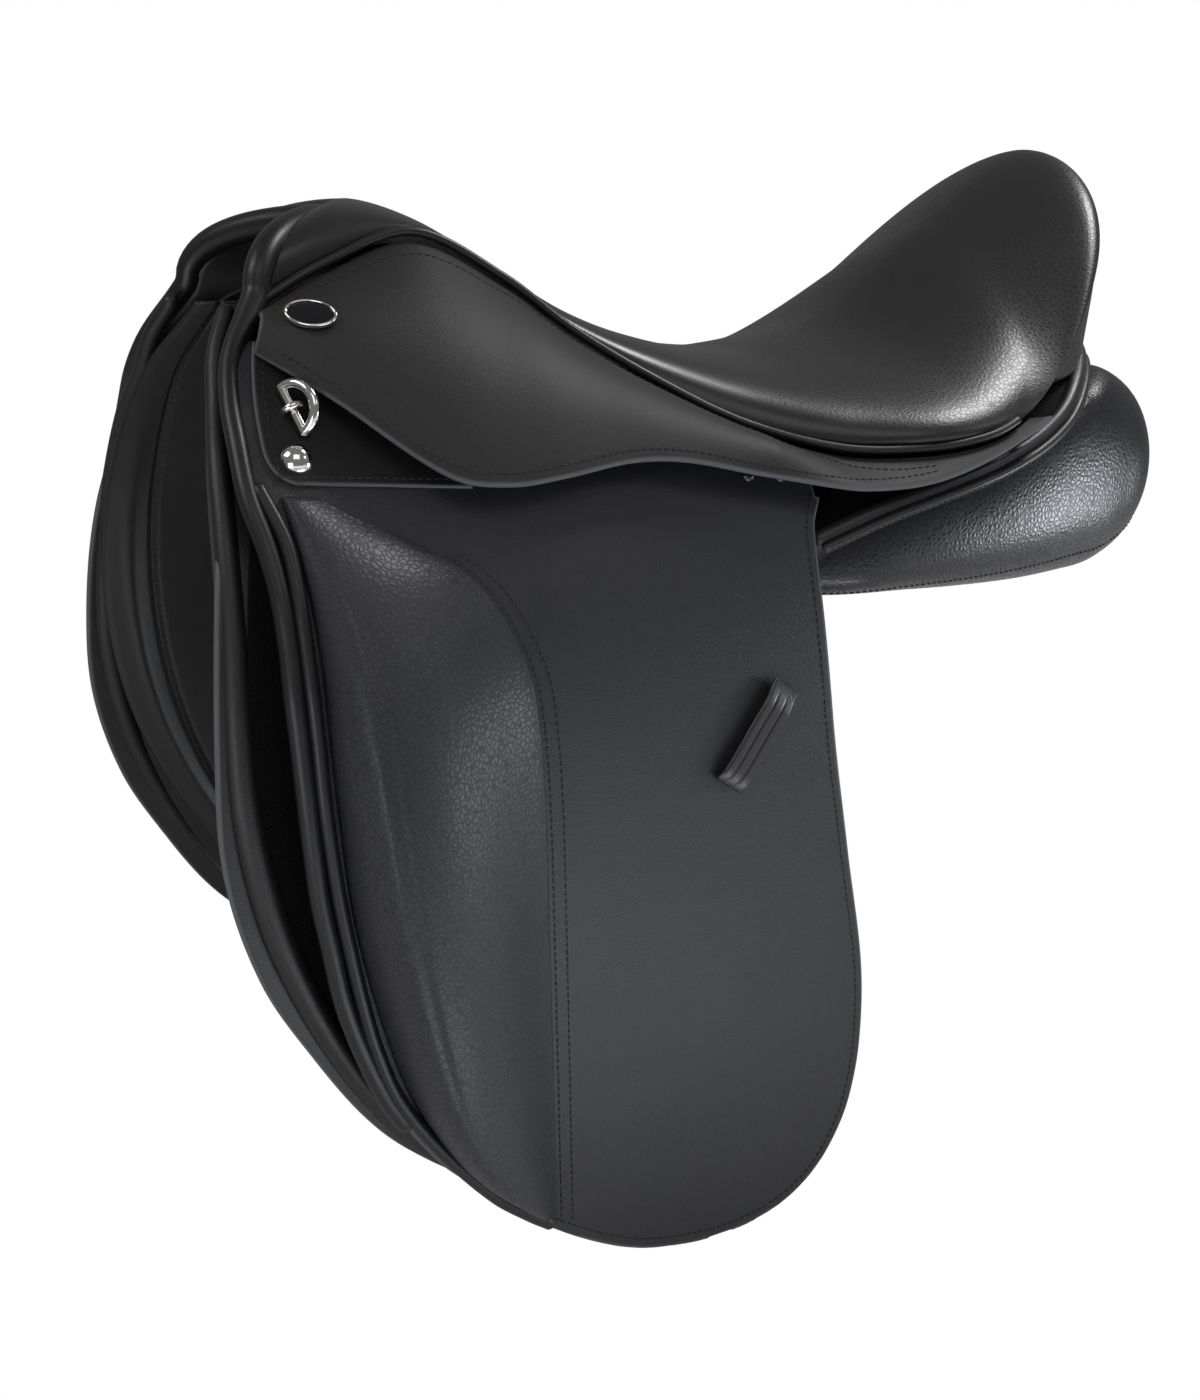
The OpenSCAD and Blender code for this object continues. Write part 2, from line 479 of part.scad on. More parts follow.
// fold line of the front lobe of the skirt
LOBE_A = curve(HEM, 0.85);
LOBE_B = curve(HEM, 4.5);
module below_lobe(lift) place(mix(LOBE_A, LOBE_B, 0.5), LOBE_A - LOBE_B, cross(LOBE_A - LOBE_B, [0, 0.8, 0.6]))
  translate([-100, -150, lift - 200]) cube([200, 300, 200]);
module skirt_near() color(WARM) difference() {
  skirt_whole();
  below_lobe(gap);
}
module skirt_off() off_side() skirt_near();
module skirt_lobe_near() color(WARM) intersection() {
  skirt_whole();
  below_lobe(-gap);
}
module skirt_lobe_off() off_side() skirt_lobe_near();

BADGE_S = 0.72;
BADGE_V = 0.46;
module badge_near() color(STEEL) {
  p = skirt_out(BADGE_S, BADGE_V);
  n = unit(p - skirt_in(BADGE_S, BADGE_V));
  place(p + 0.8 * n, [1, -0.2, 0.42], n) linear_extrude(2.2) hull() for (k = [-1, 1])
    translate([k * (badge_w - badge_h) / 2, 0]) circle(r = badge_h / 2, $fn = 32);
}
module badge_off() off_side() badge_near();

tree_frame();
tree_spring_near();
tree_spring_off();
seat_webs();
seat_foam();
seat_cover();
seat_welt_near();
seat_welt_off();
cantle_roll();
pommel_roll();
panel_near();
panel_off();
panel_roll_near();
panel_roll_off();
gullet_lining();
panel_front_near();
panel_front_off();
sweat_flap_near();
sweat_flap_off();
hook_strip_near();
hook_strip_off();
girth_web_near();
girth_web_off();
billet_front_near();
billet_front_off();
billet_rear_near();
billet_rear_off();
flap_head_near();
flap_head_off();
flap_near();
flap_off();
thigh_block_near();
thigh_block_off();
strap_keeper_near();
strap_keeper_off();
flap_tacks_near();
flap_tacks_off();
stirrup_bar_near();
stirrup_bar_off();
bar_catch_near();
bar_catch_off();
skirt_near();
skirt_off();
skirt_lobe_near();
skirt_lobe_off();
badge_near();
badge_off();
dee_staple_near();
dee_staple_off();
dee_ring_near();
dee_ring_off();
dome_nail_near();
dome_nail_off();
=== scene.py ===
import math

import bmesh
import bpy
import numpy as np
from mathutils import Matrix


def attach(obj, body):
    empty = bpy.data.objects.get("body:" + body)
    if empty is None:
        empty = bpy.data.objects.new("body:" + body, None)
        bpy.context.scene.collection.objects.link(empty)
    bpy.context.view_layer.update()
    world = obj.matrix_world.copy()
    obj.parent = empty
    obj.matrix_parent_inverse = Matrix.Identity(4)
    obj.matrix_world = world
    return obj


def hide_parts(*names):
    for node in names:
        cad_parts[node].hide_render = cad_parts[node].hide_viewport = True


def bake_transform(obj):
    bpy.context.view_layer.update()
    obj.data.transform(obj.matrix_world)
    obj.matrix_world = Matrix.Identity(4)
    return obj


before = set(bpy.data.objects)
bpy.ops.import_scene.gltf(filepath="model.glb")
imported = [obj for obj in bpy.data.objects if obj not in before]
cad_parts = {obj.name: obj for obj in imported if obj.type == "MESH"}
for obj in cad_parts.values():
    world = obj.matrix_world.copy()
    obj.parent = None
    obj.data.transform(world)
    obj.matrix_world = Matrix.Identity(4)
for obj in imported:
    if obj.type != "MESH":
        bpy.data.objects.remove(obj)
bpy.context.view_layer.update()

# Camera
# At the photograph's viewing angle: off the near front of the saddle and a little above the seat.
camera_data = bpy.data.cameras.new("camera")
camera_data.lens = 37.125
camera_data.sensor_width = 36.0
camera_data.clip_start = 0.02
camera = bpy.data.objects.new("camera", camera_data)
camera.location = (0.37406, 0.61330, 0.10527)
camera.rotation_euler = (math.radians(71.61), 0.0, math.radians(151.0))
bpy.context.scene.collection.objects.link(camera)
bpy.context.scene.camera = camera
bpy.context.scene.view_settings.view_transform = "Standard"

# Studio
# White surround, a pale floor just under the flaps and eight soft lights: four from above (behind the cantle, over the
# near side, at the near rear and in front), one low behind the panel, two on the floor and one low before the blocks.
FLOOR_Z, FLOOR_HALF = -0.36, 4.0


def by_camera(tree, lit, shown, target):
    """Mix of two shaders: one that lights the scene, and one that the camera sees."""
    ray, pick = tree.nodes.new("ShaderNodeLightPath"), tree.nodes.new("ShaderNodeMixShader")
    for source, socket in ((ray.outputs["Is Camera Ray"], pick.inputs[0]), (lit.outputs[0], pick.inputs[1]),
                           (shown.outputs[0], pick.inputs[2]), (pick.outputs[0], target.inputs[0])):
        tree.links.new(source, socket)


world = bpy.data.worlds.new("studio")
bpy.context.scene.world = world
world.use_nodes = True
world.node_tree.nodes.clear()
seen, fill = [world.node_tree.nodes.new("ShaderNodeBackground") for _ in range(2)]
for node, colour, strength in ((seen, (1, 1, 1, 1), 1.0), (fill, (0.95, 0.97, 1.0, 1), 0.2)):
    node.inputs["Color"].default_value = colour
    node.inputs["Strength"].default_value = strength
by_camera(world.node_tree, fill, seen, world.node_tree.nodes.new("ShaderNodeOutputWorld"))


def soft_light(name, place, aim, size, power, colour):
    """Rectangular area light at a place, turned towards an aim point."""
    lamp = bpy.data.lights.new(name, "AREA")
    lamp.shape = "RECTANGLE"
    lamp.size, lamp.size_y = size
    lamp.energy = power
    lamp.color = colour
    obj = bpy.data.objects.new(name, lamp)
    back = np.array(place, float) - np.array(aim, float)
    obj.location = place
    obj.rotation_euler = (math.atan2(math.hypot(back[0], back[1]), back[2]), 0, math.atan2(back[0], -back[1]))
    obj.visible_camera = False
    bpy.context.scene.collection.objects.link(obj)


soft_light("key", (-0.72, 0.08, 1.0), (-0.1, 0.1, 0.03), (0.3, 0.3), 7.0, (1.0, 0.99, 1.0))
soft_light("over", (0.3, 1.3, 1.1), (0.0, 0.1, -0.05), (1.0, 0.8), 3.3, (1.0, 0.96, 0.96))
soft_light("low", (-0.86, 0.52, -0.205), (-0.14, 0.12, -0.03), (0.24, 0.2), 2.2, (0.90, 0.94, 1.0))
soft_light("side", (-0.80, 0.80, 0.66), (-0.1, 0.12, 0.0), (0.25, 0.25), 0.7, (0.96, 0.97, 1.0))
soft_light("foot", (0.05, 0.44, -0.355), (0.05, 0.4401, 1.0), (0.4, 0.2), 0.9, (0.90, 0.94, 1.0))
soft_light("wide", (-0.2, 1.25, -0.355), (-0.2, 1.2501, 1.0), (2.0, 0.8), 3.3, (0.86, 0.90, 1.0))
soft_light("fore", (0.95, 0.8, -0.15), (0.2, 0.1, -0.12), (0.5, 0.5), 2.8, (0.94, 0.96, 1.0))
soft_light("front", (1.0, 0.1, 0.9), (0.15, 0.0, 0.0), (0.5, 0.5), 4.0, (1.0, 0.98, 0.98))

floor_mesh = bpy.data.meshes.new("floor")
corners = [(-1, -1), (1, -1), (1, 1), (-1, 1)]
floor_mesh.from_pydata([(x * FLOOR_HALF, y * FLOOR_HALF, FLOOR_Z) for x, y in corners], [], [(0, 1, 2, 3)])
floor = bpy.data.objects.new("floor", floor_mesh)
bpy.context.scene.collection.objects.link(floor)
floor_mat = bpy.data.materials.new("floor")
floor_mat.use_nodes = True
floor_nodes = floor_mat.node_tree.nodes
floor_nodes["Principled BSDF"].inputs["Base Color"].default_value = (0.85, 0.85, 0.85, 1)
floor_nodes["Principled BSDF"].inputs["Roughness"].default_value = 0.9
by_camera(floor_mat.node_tree, floor_nodes["Principled BSDF"], floor_nodes.new("ShaderNodeEmission"),
          floor_nodes["Material Output"])
floor_mesh.materials.append(floor_mat)

# Seat
# Deep seat of soft leather over foam: smooth on the narrow front, pebbled on the broad rear and up the cantle.
# All sizes are in millimetres and take the saddle's own frame: X forward, Y to the near side, Z up.


def curve(keys, v):
    """Cubic through (key, value) pairs, with slopes taken across each key, straight beyond the ends."""
    k = np.array([a for a, b in keys], float)
    p = np.array([b for a, b in keys], float)
    flat = p.ndim == 1
    p = p[:, None] if flat else p
    n = len(k)
    lo, hi = np.maximum(np.arange(n) - 1, 0), np.minimum(np.arange(n) + 1, n - 1)
    m = (p[hi] - p[lo]) / (k[hi] - k[lo])[:, None]
    v = np.asarray(v, float)
    i = np.clip(np.searchsorted(k, v, side="right") - 1, 0, n - 2)
    h = (k[i + 1] - k[i])[..., None]
    inside = np.clip(v, k[0], k[-1])
    f = (inside - k[i])[..., None] / h
    e = (v - inside)[..., None]
    q = ((2 * f**3 - 3 * f**2 + 1) * p[i] + (f**3 - 2 * f**2 + f) * h * m[i]
         + (3 * f**2 - 2 * f**3) * p[i + 1] + (f**3 - f**2) * h * m[i + 1] + e * np.where(e < 0, m[i], m[i + 1]))
    return q[..., 0] if flat else q


def unit(v):
    """Vectors divided by their lengths."""
    return v / np.maximum(np.linalg.norm(v, axis=-1, keepdims=True), 1e-9)


def smooth(a, b, v):
    """0 at a and beyond it, 1 at b and beyond it, and an even cubic step between them."""
    t = np.clip((np.asarray(v, float) - a) / (b - a), 0, 1)
    return t * t * (3 - 2 * t)


def grid_faces(idx):
    """Four-sided faces of a grid of vertex numbers."""
    return np.stack([idx[:-1, :-1], idx[:-1, 1:], idx[1:, 1:], idx[1:, :-1]], -1).reshape(-1, 4)


def ring_faces(m, n):
    """Four-sided faces of m rings with n vertices each, every ring closed."""
    idx = np.arange(m * n).reshape(m, n)
    return grid_faces(np.concatenate([idx, idx[:, :1]], 1))


def shell(a, b):
    """Closed solid between two grids of points, joined round their rims."""
    m, n = a.shape[:2]
    ia = np.arange(m * n).reshape(m, n)
    rim = np.concatenate([ia[0, :-1], ia[:-1, -1], ia[-1, :0:-1], ia[:0:-1, 0]])
    nxt = np.roll(rim, -1)
    side_faces = np.stack([rim, rim + m * n, nxt + m * n, nxt], -1)
    faces = np.concatenate([grid_faces(ia), grid_faces(ia + m * n)[:, ::-1], side_faces])
    return {"v": np.concatenate([a.reshape(-1, 3), b.reshape(-1, 3)]), "f": faces}


def tube(path, r, up, sides=16):
    """Round cord of radius r along a path, with ends drawn in to rounded tips; up is never along the path."""
    path = np.asarray(path, float)
    n = len(path)
    r = np.broadcast_to(np.asarray(r, float), (n,)).copy()
    t = unit(np.gradient(path, axis=0))
    tip = np.array([0.0, 0.55, 0.85])
    path = np.concatenate([path[0] - t[0] * r[0] * (1 - np.arange(3) / 3)[:, None] * 0.9, path,
                           path[-1] + t[-1] * r[-1] * ((np.arange(3) + 1) / 3)[:, None] * 0.9])
    r = np.concatenate([np.maximum(tip * r[0], 0.02), r, np.maximum(tip[::-1] * r[-1], 0.02)])
    t = np.concatenate([t[[0, 0, 0]], t, t[[-1, -1, -1]]])
    a = unit(np.cross(t, np.asarray(up, float)))
    b = np.cross(a, t)
    k = np.linspace(0, 2 * np.pi, sides, endpoint=False)
    v = path[:, None] + r[:, None, None] * (np.cos(k)[:, None] * a[:, None] + np.sin(k)[:, None] * b[:, None])
    return {"v": v.reshape(-1, 3), "f": ring_faces(len(path), sides)}


def even(path, step):
    """Points along a path at even steps of arc length."""
    path = np.asarray(path, float)
    d = np.concatenate([[0], np.cumsum(np.linalg.norm(np.diff(path, axis=0), axis=1))])
    s = np.linspace(0, d[-1], max(int(round(d[-1] / step)), 2) + 1)
    return np.stack([np.interp(s, d, path[:, i]) for i in range(3)], -1)


def fine(path, step):
    """Smooth curve through a few points, then even steps of arc length."""
    path = np.asarray(path, float)
    d = np.concatenate([[0], np.cumsum(np.linalg.norm(np.diff(path, axis=0), axis=1))])
    return even(curve(list(zip(d, path)), np.linspace(0, d[-1], 400)), step)


def stitches(path, normal, pitch=3.3, length=2.5, r=0.42):
    """Row of thread stitches: one small long bead at each even step of the path, lying on its normal."""
    p = even(path, pitch)
    t = unit(np.diff(p, axis=0))
    c = (p[1:] + p[:-1]) / 2
    k = np.linspace(0, 1, len(c))
    w = np.broadcast_to(np.asarray(normal, float), np.asarray(path).shape)
    j = np.linspace(0, 1, len(w))
    n = unit(np.stack([np.interp(k, j, w[:, i]) for i in range(3)], -1))
    b = unit(np.cross(n, t))
    lat = np.radians([-88, -45, 0, 45, 88])
    lon = np.linspace(0, 2 * np.pi, 6, endpoint=False)
    x = np.broadcast_to(np.sin(lat)[:, None], (5, 6)) * length / 2
    y = np.cos(lat)[:, None] * np.cos(lon) * r
    z = np.cos(lat)[:, None] * np.sin(lon) * r * 0.8
    v = (c[:, None, None] + x[..., None] * t[:, None, None] + y[..., None] * b[:, None, None]
         + z[..., None] * n[:, None, None])
    f = ring_faces(5, 6)[None] + x.size * np.arange(len(c))[:, None, None]
    return {"v": v.reshape(-1, 3), "f": f.reshape(-1, 4)}


MASKS = ("edge", "plain", "seam")


def make(name, parts, mats):
    """One object from parts given in millimetres; each part names its material by number and may carry masks."""
    counts = np.cumsum([0] + [len(p["v"]) for p in parts])
    mesh = bpy.data.meshes.new(name)
    mesh.from_pydata(np.concatenate([p["v"] for p in parts]) * 0.001, [],
                     np.concatenate([p["f"] + c for p, c in zip(parts, counts)]).tolist())
    for mat in mats:
        mesh.materials.append(mat)
    numbers = np.concatenate([np.full(len(p["f"]), p.get("m", 0)) for p in parts])
    mesh.polygons.foreach_set("material_index", numbers)
    for mask in MASKS:
        if any(mask in p for p in parts):
            values = np.concatenate([np.ravel(p.get(mask, np.zeros(len(p["v"])))) for p in parts])
            mesh.attributes.new(mask, "FLOAT", "POINT").data.foreach_set("value", values.astype(np.float32))
    mesh.polygons.foreach_set("use_smooth", np.ones(len(mesh.polygons), bool))
    bm = bmesh.new()
    bm.from_mesh(mesh)
    bmesh.ops.recalc_face_normals(bm, faces=bm.faces)
    bm.to_mesh(mesh)
    bm.free()
    obj = bpy.data.objects.new(name, mesh)
    bpy.context.scene.collection.objects.link(obj)
    return obj


def leather_group():
    """Leather: pebbles parted by creases from cell edges, darkened there as painted shade, fine pores, slow tone
    changes, and a painted highlight in grey on the sheet edges by mask.
    """
    g = bpy.data.node_groups.new("leather_grain", "ShaderNodeTree")
    socket = g.interface.new_socket
    for label, kind, value in (("Hide", "Color", (0.04, 0.04, 0.04, 1)), ("Cells", "Float", 500.0),
                               ("Pebble", "Float", 0.5), ("Gloss", "Float", 0.4)):
        socket(label, in_out="INPUT", socket_type="NodeSocket" + kind).default_value = value
    for label, kind in (("Color", "Color"), ("Roughness", "Float"), ("Height", "Float")):
        socket(label, in_out="OUTPUT", socket_type="NodeSocket" + kind)
    n, l = g.nodes, g.links

    def math_node(op, a, b, clamp=False):
        node = n.new("ShaderNodeMath")
        node.operation = op
        node.use_clamp = clamp
        for socket, value in zip(node.inputs, (a, b)):
            if isinstance(value, (int, float)):
                socket.default_value = value
            else:
                l.new(value, socket)
        return node.outputs[0]

    src, dst = n.new("NodeGroupInput"), n.new("NodeGroupOutput")
    at = n.new("ShaderNodeTexCoord").outputs["Object"]
    warp, pores, tone = [n.new("ShaderNodeTexNoise") for _ in range(3)]
    for node, scale, detail in ((warp, 160, 2), (pores, 1500, 3), (tone, 14, 4)):
        node.inputs["Scale"].default_value = scale
        node.inputs["Detail"].default_value = detail
        l.new(at, node.inputs["Vector"])
    bend = n.new("ShaderNodeVectorMath")
    bend.operation = "MULTIPLY_ADD"
    bend.inputs[1].default_value = (0.0009, 0.0009, 0.0009)
    l.new(warp.outputs["Color"], bend.inputs[0])
    l.new(at, bend.inputs[2])
    cell = n.new("ShaderNodeTexVoronoi")
    cell.feature = "DISTANCE_TO_EDGE"
    l.new(bend.outputs[0], cell.inputs["Vector"])
    l.new(src.outputs["Cells"], cell.inputs["Scale"])
    crown, net = n.new("ShaderNodeMapRange"), n.new("ShaderNodeMapRange")
    for node, reach in ((crown, 0.36), (net, 0.17)):
        node.interpolation_type = "SMOOTHSTEP"
        node.inputs["From Max"].default_value = reach
        l.new(cell.outputs["Distance"], node.inputs["Value"])
    masks = {}
    for mask in MASKS:
        node = n.new("ShaderNodeAttribute")
        node.attribute_name = mask
        masks[mask] = node.outputs["Fac"]
    depth = math_node("MULTIPLY", src.outputs["Pebble"], math_node("SUBTRACT", 1.0, masks["plain"]))
    depth = math_node("MULTIPLY", depth, math_node("SUBTRACT", 1.0, masks["edge"]))
    crease = math_node("MULTIPLY", depth, math_node("SUBTRACT", 1.0, net.outputs["Result"]))
    height = math_node("ADD", math_node("MULTIPLY", depth, crown.outputs["Result"]),
                       math_node("MULTIPLY", pores.outputs["Fac"], 0.22))
    l.new(math_node("SUBTRACT", height, math_node("MULTIPLY", masks["seam"], 1.5)), dst.inputs["Height"])
    shade = math_node("ADD", 0.82, math_node("MULTIPLY", tone.outputs["Fac"], 0.36))
    # Painted shade: the colour darkens in the creases between pebbles, where relief would shade them.
    shade = math_node("MULTIPLY", shade, math_node("SUBTRACT", 1.0, math_node("MULTIPLY", crease, 0.6)))
    shade = math_node("MULTIPLY", shade, math_node("SUBTRACT", 1.0, math_node("MULTIPLY", masks["seam"], 0.6)))
    tint = n.new("ShaderNodeVectorMath")
    tint.operation = "SCALE"
    l.new(src.outputs["Hide"], tint.inputs[0])
    l.new(shade, tint.inputs["Scale"])
    # Painted highlight: a flat grey laid on the edges by their mask, in place of the light that rounded edges catch.
    edge_highlight = n.new("ShaderNodeMix")
    edge_highlight.data_type = "RGBA"
    edge_highlight.inputs["B"].default_value = (0.085, 0.086, 0.09, 1)
    l.new(masks["edge"], edge_highlight.inputs["Factor"])
    l.new(tint.outputs[0], edge_highlight.inputs["A"])
    l.new(edge_highlight.outputs["Result"], dst.inputs["Color"])
    rough = math_node("ADD", src.outputs["Gloss"], math_node("MULTIPLY", crease, 0.25))
    rough = math_node("ADD", rough, math_node("MULTIPLY", math_node("SUBTRACT", tone.outputs["Fac"], 0.5), 0.12))
    l.new(math_node("ADD", rough, math_node("MULTIPLY", masks["edge"], 0.2), True), dst.inputs["Roughness"])
    return g


GRAIN = leather_group()


def leather(name, hide, cells, pebble, gloss, relief=0.25, specular=0.5):
    """Leather of one hide: its colour, grain cells to the metre, pebble depth, base roughness, relief in mm."""
    mat = bpy.data.materials.new(name)
    mat.use_nodes = True
    n, l = mat.node_tree.nodes, mat.node_tree.links
    grain = n.new("ShaderNodeGroup")
    grain.node_tree = GRAIN
    grain.inputs["Hide"].default_value = (*hide, 1)
    grain.inputs["Cells"].default_value = cells
    grain.inputs["Pebble"].default_value = pebble
    grain.inputs["Gloss"].default_value = gloss
    bump = n.new("ShaderNodeBump")
    bump.inputs["Strength"].default_value = 1.0
    bump.inputs["Distance"].default_value = relief * 0.001
    shader = n["Principled BSDF"]
    shader.inputs["Specular IOR Level"].default_value = specular
    l.new(grain.outputs["Color"], shader.inputs["Base Color"])
    l.new(grain.outputs["Roughness"], shader.inputs["Roughness"])
    l.new(grain.outputs["Height"], bump.inputs["Height"])
    l.new(bump.outputs["Normal"], shader.inputs["Normal"])
    return mat


def patterned(name, low, high, relief, rough, *textures):
    """Material ruled by one pattern, the product of its textures: tone from a low to a high colour, relief in mm."""
    mat = bpy.data.materials.new(name)
    mat.use_nodes = True
    n, l = mat.node_tree.nodes, mat.node_tree.links
    at = n.new("ShaderNodeTexCoord").outputs["Object"]
    pattern = None
    for kind, bands, values in textures:
        node = n.new("ShaderNodeTex" + kind)
        if bands:
            node.bands_direction = bands
        for label, value in values.items():
            node.inputs[label].default_value = value
        l.new(at, node.inputs["Vector"])
        if pattern is None:
            pattern = node.outputs["Fac"]
        else:
            product = n.new("ShaderNodeMath")
            product.operation = "MULTIPLY"
            l.new(pattern, product.inputs[0])
            l.new(node.outputs["Fac"], product.inputs[1])
            pattern = product.outputs[0]
    tone = n.new("ShaderNodeMix")
    tone.data_type = "RGBA"
    tone.inputs["A"].default_value = (*low, 1)
    tone.inputs["B"].default_value = (*high, 1)
    bump = n.new("ShaderNodeBump")
    bump.inputs["Distance"].default_value = relief * 0.001
    shader = n["Principled BSDF"]
    shader.inputs["Roughness"].default_value = rough
    for source, socket in ((pattern, tone.inputs["Factor"]), (tone.outputs["Result"], shader.inputs["Base Color"]),
                           (pattern, bump.inputs["Height"]), (bump.outputs["Normal"], shader.inputs["Normal"])):
        l.new(source, socket)
    return mat, pattern


def shades(colour, low, high):
    """A darker and a lighter shade of one colour, by two factors."""
    return [min(c * low, 1) for c in colour], [min(c * high, 1) for c in colour]


SEAM = [(0, (216, 54, 75)), (1, (184, 50, 91)), (2, (146, 46, 102)), (3, (108, 48, 84)), (4, (80, 54, 63)),
        (5, (48, 64, 43)), (6, (12, 85, 23)), (7, (-25, 108, 12)), (8, (-62, 122, 11)), (9, (-92, 128, 15)),
        (10, (-113, 126, 22)), (11, (-128, 118, 27)), (12, (-138, 109, 31))]
SPINE = [(0, (168, 0, 107)), (1, (157, 0, 114)), (2, (130, 0, 106)), (3, (98, 0, 84)), (4, (66, 0, 67)),
         (5, (34, 0, 56)), (6, (-5, 0, 48)), (7, (-45, 0, 47.5)), (8, (-98, 0, 60.5)), (9, (-156, 0, 100.7)),
         (10, (-223, 0, 141)), (11, (-230.5, 0, 104)), (12, (-226, 0, 46))]
FULL_W = [(0, 0.8), (5, 0.8), (8, 1.2), (10, 1.1), (11, 1.02), (12, 1.2)]
FULL_H = [(0, 0.8), (5, 0.85), (7, 1.15), (9, 1.9), (10, 1.36), (11, 0.98), (12, 1.2)]
ROUND = [(0, 0), (1, 0), (5, 1), (12, 1)]
SWELL = [(0, 0), (5, 0), (7, 0.1), (8, 0.2), (10, -0.05), (11, -0.1), (12, 0)]


def seat(s, f, d=0.0):
    """Seat, d mm deep: each station spans from seam over spine to seam by powers of sine and cosine of f degrees."""
    s, f = np.broadcast_arrays(np.asarray(s, float), np.asarray(f, float))
    p, c = curve(SEAM, s), curve(SPINE, s)
    g = np.radians(np.minimum(f, 180 - f))
    w = np.cos(g).clip(0) ** curve(FULL_W, s)
    h = np.sin(g).clip(0) ** curve(FULL_H, s)
    y = p[..., 1] * (w + curve(SWELL, s) * np.sin(2 * g) * np.cos(g).clip(0) ** 3)
    k = curve(ROUND, s).clip(0, 1)
    x = (1 - k) * (1 - w**1.25) + k * np.sin(g).clip(0) ** 0.9
    q = np.stack([p[..., 0] + (c[..., 0] - p[..., 0]) * x, np.where(f > 90, -y, y),
                  p[..., 2] + (c[..., 2] - p[..., 2]) * h], -1)
    a = np.stack([(p[..., 0] + c[..., 0]) / 2, 0 * x, p[..., 2] - 45], -1)
    return q + d * unit(a - q)


COVER_THICK = 3.0
TWIST = ("Wave", None, {"Scale": 900, "Distortion": 2})
thread_black, _ = patterned("thread_black", (0.004, 0.004, 0.004), (0.012, 0.012, 0.012), 0.1, 0.6, TWIST)
seat_leather = leather("seat_leather", (0.016, 0.0145, 0.0140), 400, 0.42, 0.31, 0.07)
s_rows = np.concatenate([np.linspace(0.2, 9, 110), np.linspace(9, 12, 80)[1:]])[:, None]
f_cols = np.linspace(0, 180, 141)[None]
top = shell(seat(s_rows, f_cols), seat(s_rows, f_cols, COVER_THICK))
top["plain"] = smooth(-80, 60, top["v"][:, 0]) * 0.85
cover = make("seat_cover_leather", [top], [seat_leather])
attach(cover, "saddle")
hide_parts("seat_cover")

# Welts and cantle roll
# Thin leather piping along both seat seams, and a fuller roll that closes the seam round the back of the cantle.
WELT_R, CANTLE_R = 1.9, 3.4


def mirrored(part):
    """The same piece on the off side."""
    return dict(part, v=part["v"] * [1, -1, 1], f=part["f"][:, ::-1])


def pair(name, parts, mats):
    """Near and off object made from the near side's parts, each with the name of its side."""
    for side, side_parts in (("near", parts), ("off", [mirrored(p) for p in parts])):
        yield make(name + "_" + side, side_parts, mats), side


piping = leather("piping_leather", (0.010, 0.0095, 0.0095), 900, 0.15, 0.36, 0.08)
welt_line = curve(SEAM, np.linspace(0.08, 9.8, 120)) + [0, 2.8, -1]
for obj, side in pair("welt", [tube(welt_line, WELT_R, (0, 0, 1), 12)], [piping]):
    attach(obj, "saddle")
    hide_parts("seat_welt_" + side)
cantle_line = seat(12.0, np.linspace(28, 152, 90)) + [1, 0, -4.2]
obj = make("cantle_roll_leather", [tube(cantle_line, CANTLE_R, (0, 0, 1), 16)], [piping])
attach(obj, "saddle")
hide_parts("cantle_roll")

# Skirts
# Skirt on each side, sewn under the seat welt with a free lower edge and two rows of stitches, in one piece with its
# front lobe.
HEM = [(0, (223, 72, 59)), (1, (199, 98, 42)), (2, (164, 121, 15)), (2.6, (140, 126, 10.5)), (3, (118, 126, 12)),
       (4, (85, 122, 15)), (5, (58, 123, 13)), (6, (20, 128, 4)), (7, (-20, 133.5, -2)), (8, (-55, 137, -2)),
       (9, (-88, 137.5, 6)), (10, (-120, 134, 17.5)), (10.5, (-133, 129.5, 22))]
SKIRT_THICK, SKIRT_BULGE = 3.5, 9.0
UPPER_ROW, LOWER_ROW, ROW_ROOM = 9.0, 5.2, 16.0


def square(p):
    """Directions square to a grid of points."""
    return unit(np.cross(np.gradient(p, axis=0), np.gradient(p, axis=1)))


def leaf(p, thick, soft=1.9):
    """Leather sheet of a thickness about a grid of points, its edge rounded over a soft width, with an edge mask."""
    m, n = p.shape[:2]
    w = square(p)
    rim = np.concatenate([p[0], p[-1], p[:, 0], p[:, -1]])
    points = p.reshape(-1, 3)
    d = np.concatenate([np.sqrt(((c[:, None] - rim[None]) ** 2).sum(-1).min(1))
                        for c in np.array_split(points, max(len(points) // 2000, 1))]).reshape(m, n)
    t = thick / 2 * np.sqrt(1 - (1 - np.clip(d / soft, 0, 1)) ** 2)
    inner = np.zeros((m, n), bool)
    inner[1:-1, 1:-1] = True
    ia = np.arange(m * n).reshape(m, n)
    ib = ia.copy()
    ib[inner] = m * n + np.arange(inner.sum())
    v = np.concatenate([(p + w * t[..., None]).reshape(-1, 3), (p - w * t[..., None])[inner]])
    # Edge mask: it flattens the grain and roughens the rim, and the leather shader paints a grey highlight on it.
    mask = 1 - smooth(0.35 * soft, 1.05 * soft, d)
    mask = np.concatenate([mask.ravel(), mask[inner]])
    return {"v": v, "f": np.concatenate([grid_faces(ia), grid_faces(ib)[:, ::-1]]), "edge": mask}


def outer_leaf(face, thick, soft=1.9):
    """Leather sheet that lies inside its outer face, which is a grid of points on the near side."""
    w = square(face)
    return leaf(face - w * np.sign(np.median(w[..., 1])) * thick / 2, thick, soft)


def crowd(n, size, soft=2.0):
    """Values from 0 to 1 across a size in mm, crowded within the soft width of both ends."""
    near_end = np.array([0, 0.12, 0.3, 0.55, 0.85, 1.2]) * soft / size
    return np.concatenate([near_end, np.linspace(1.7 * soft / size, 1 - 1.7 * soft / size, n), 1 - near_end[::-1]])


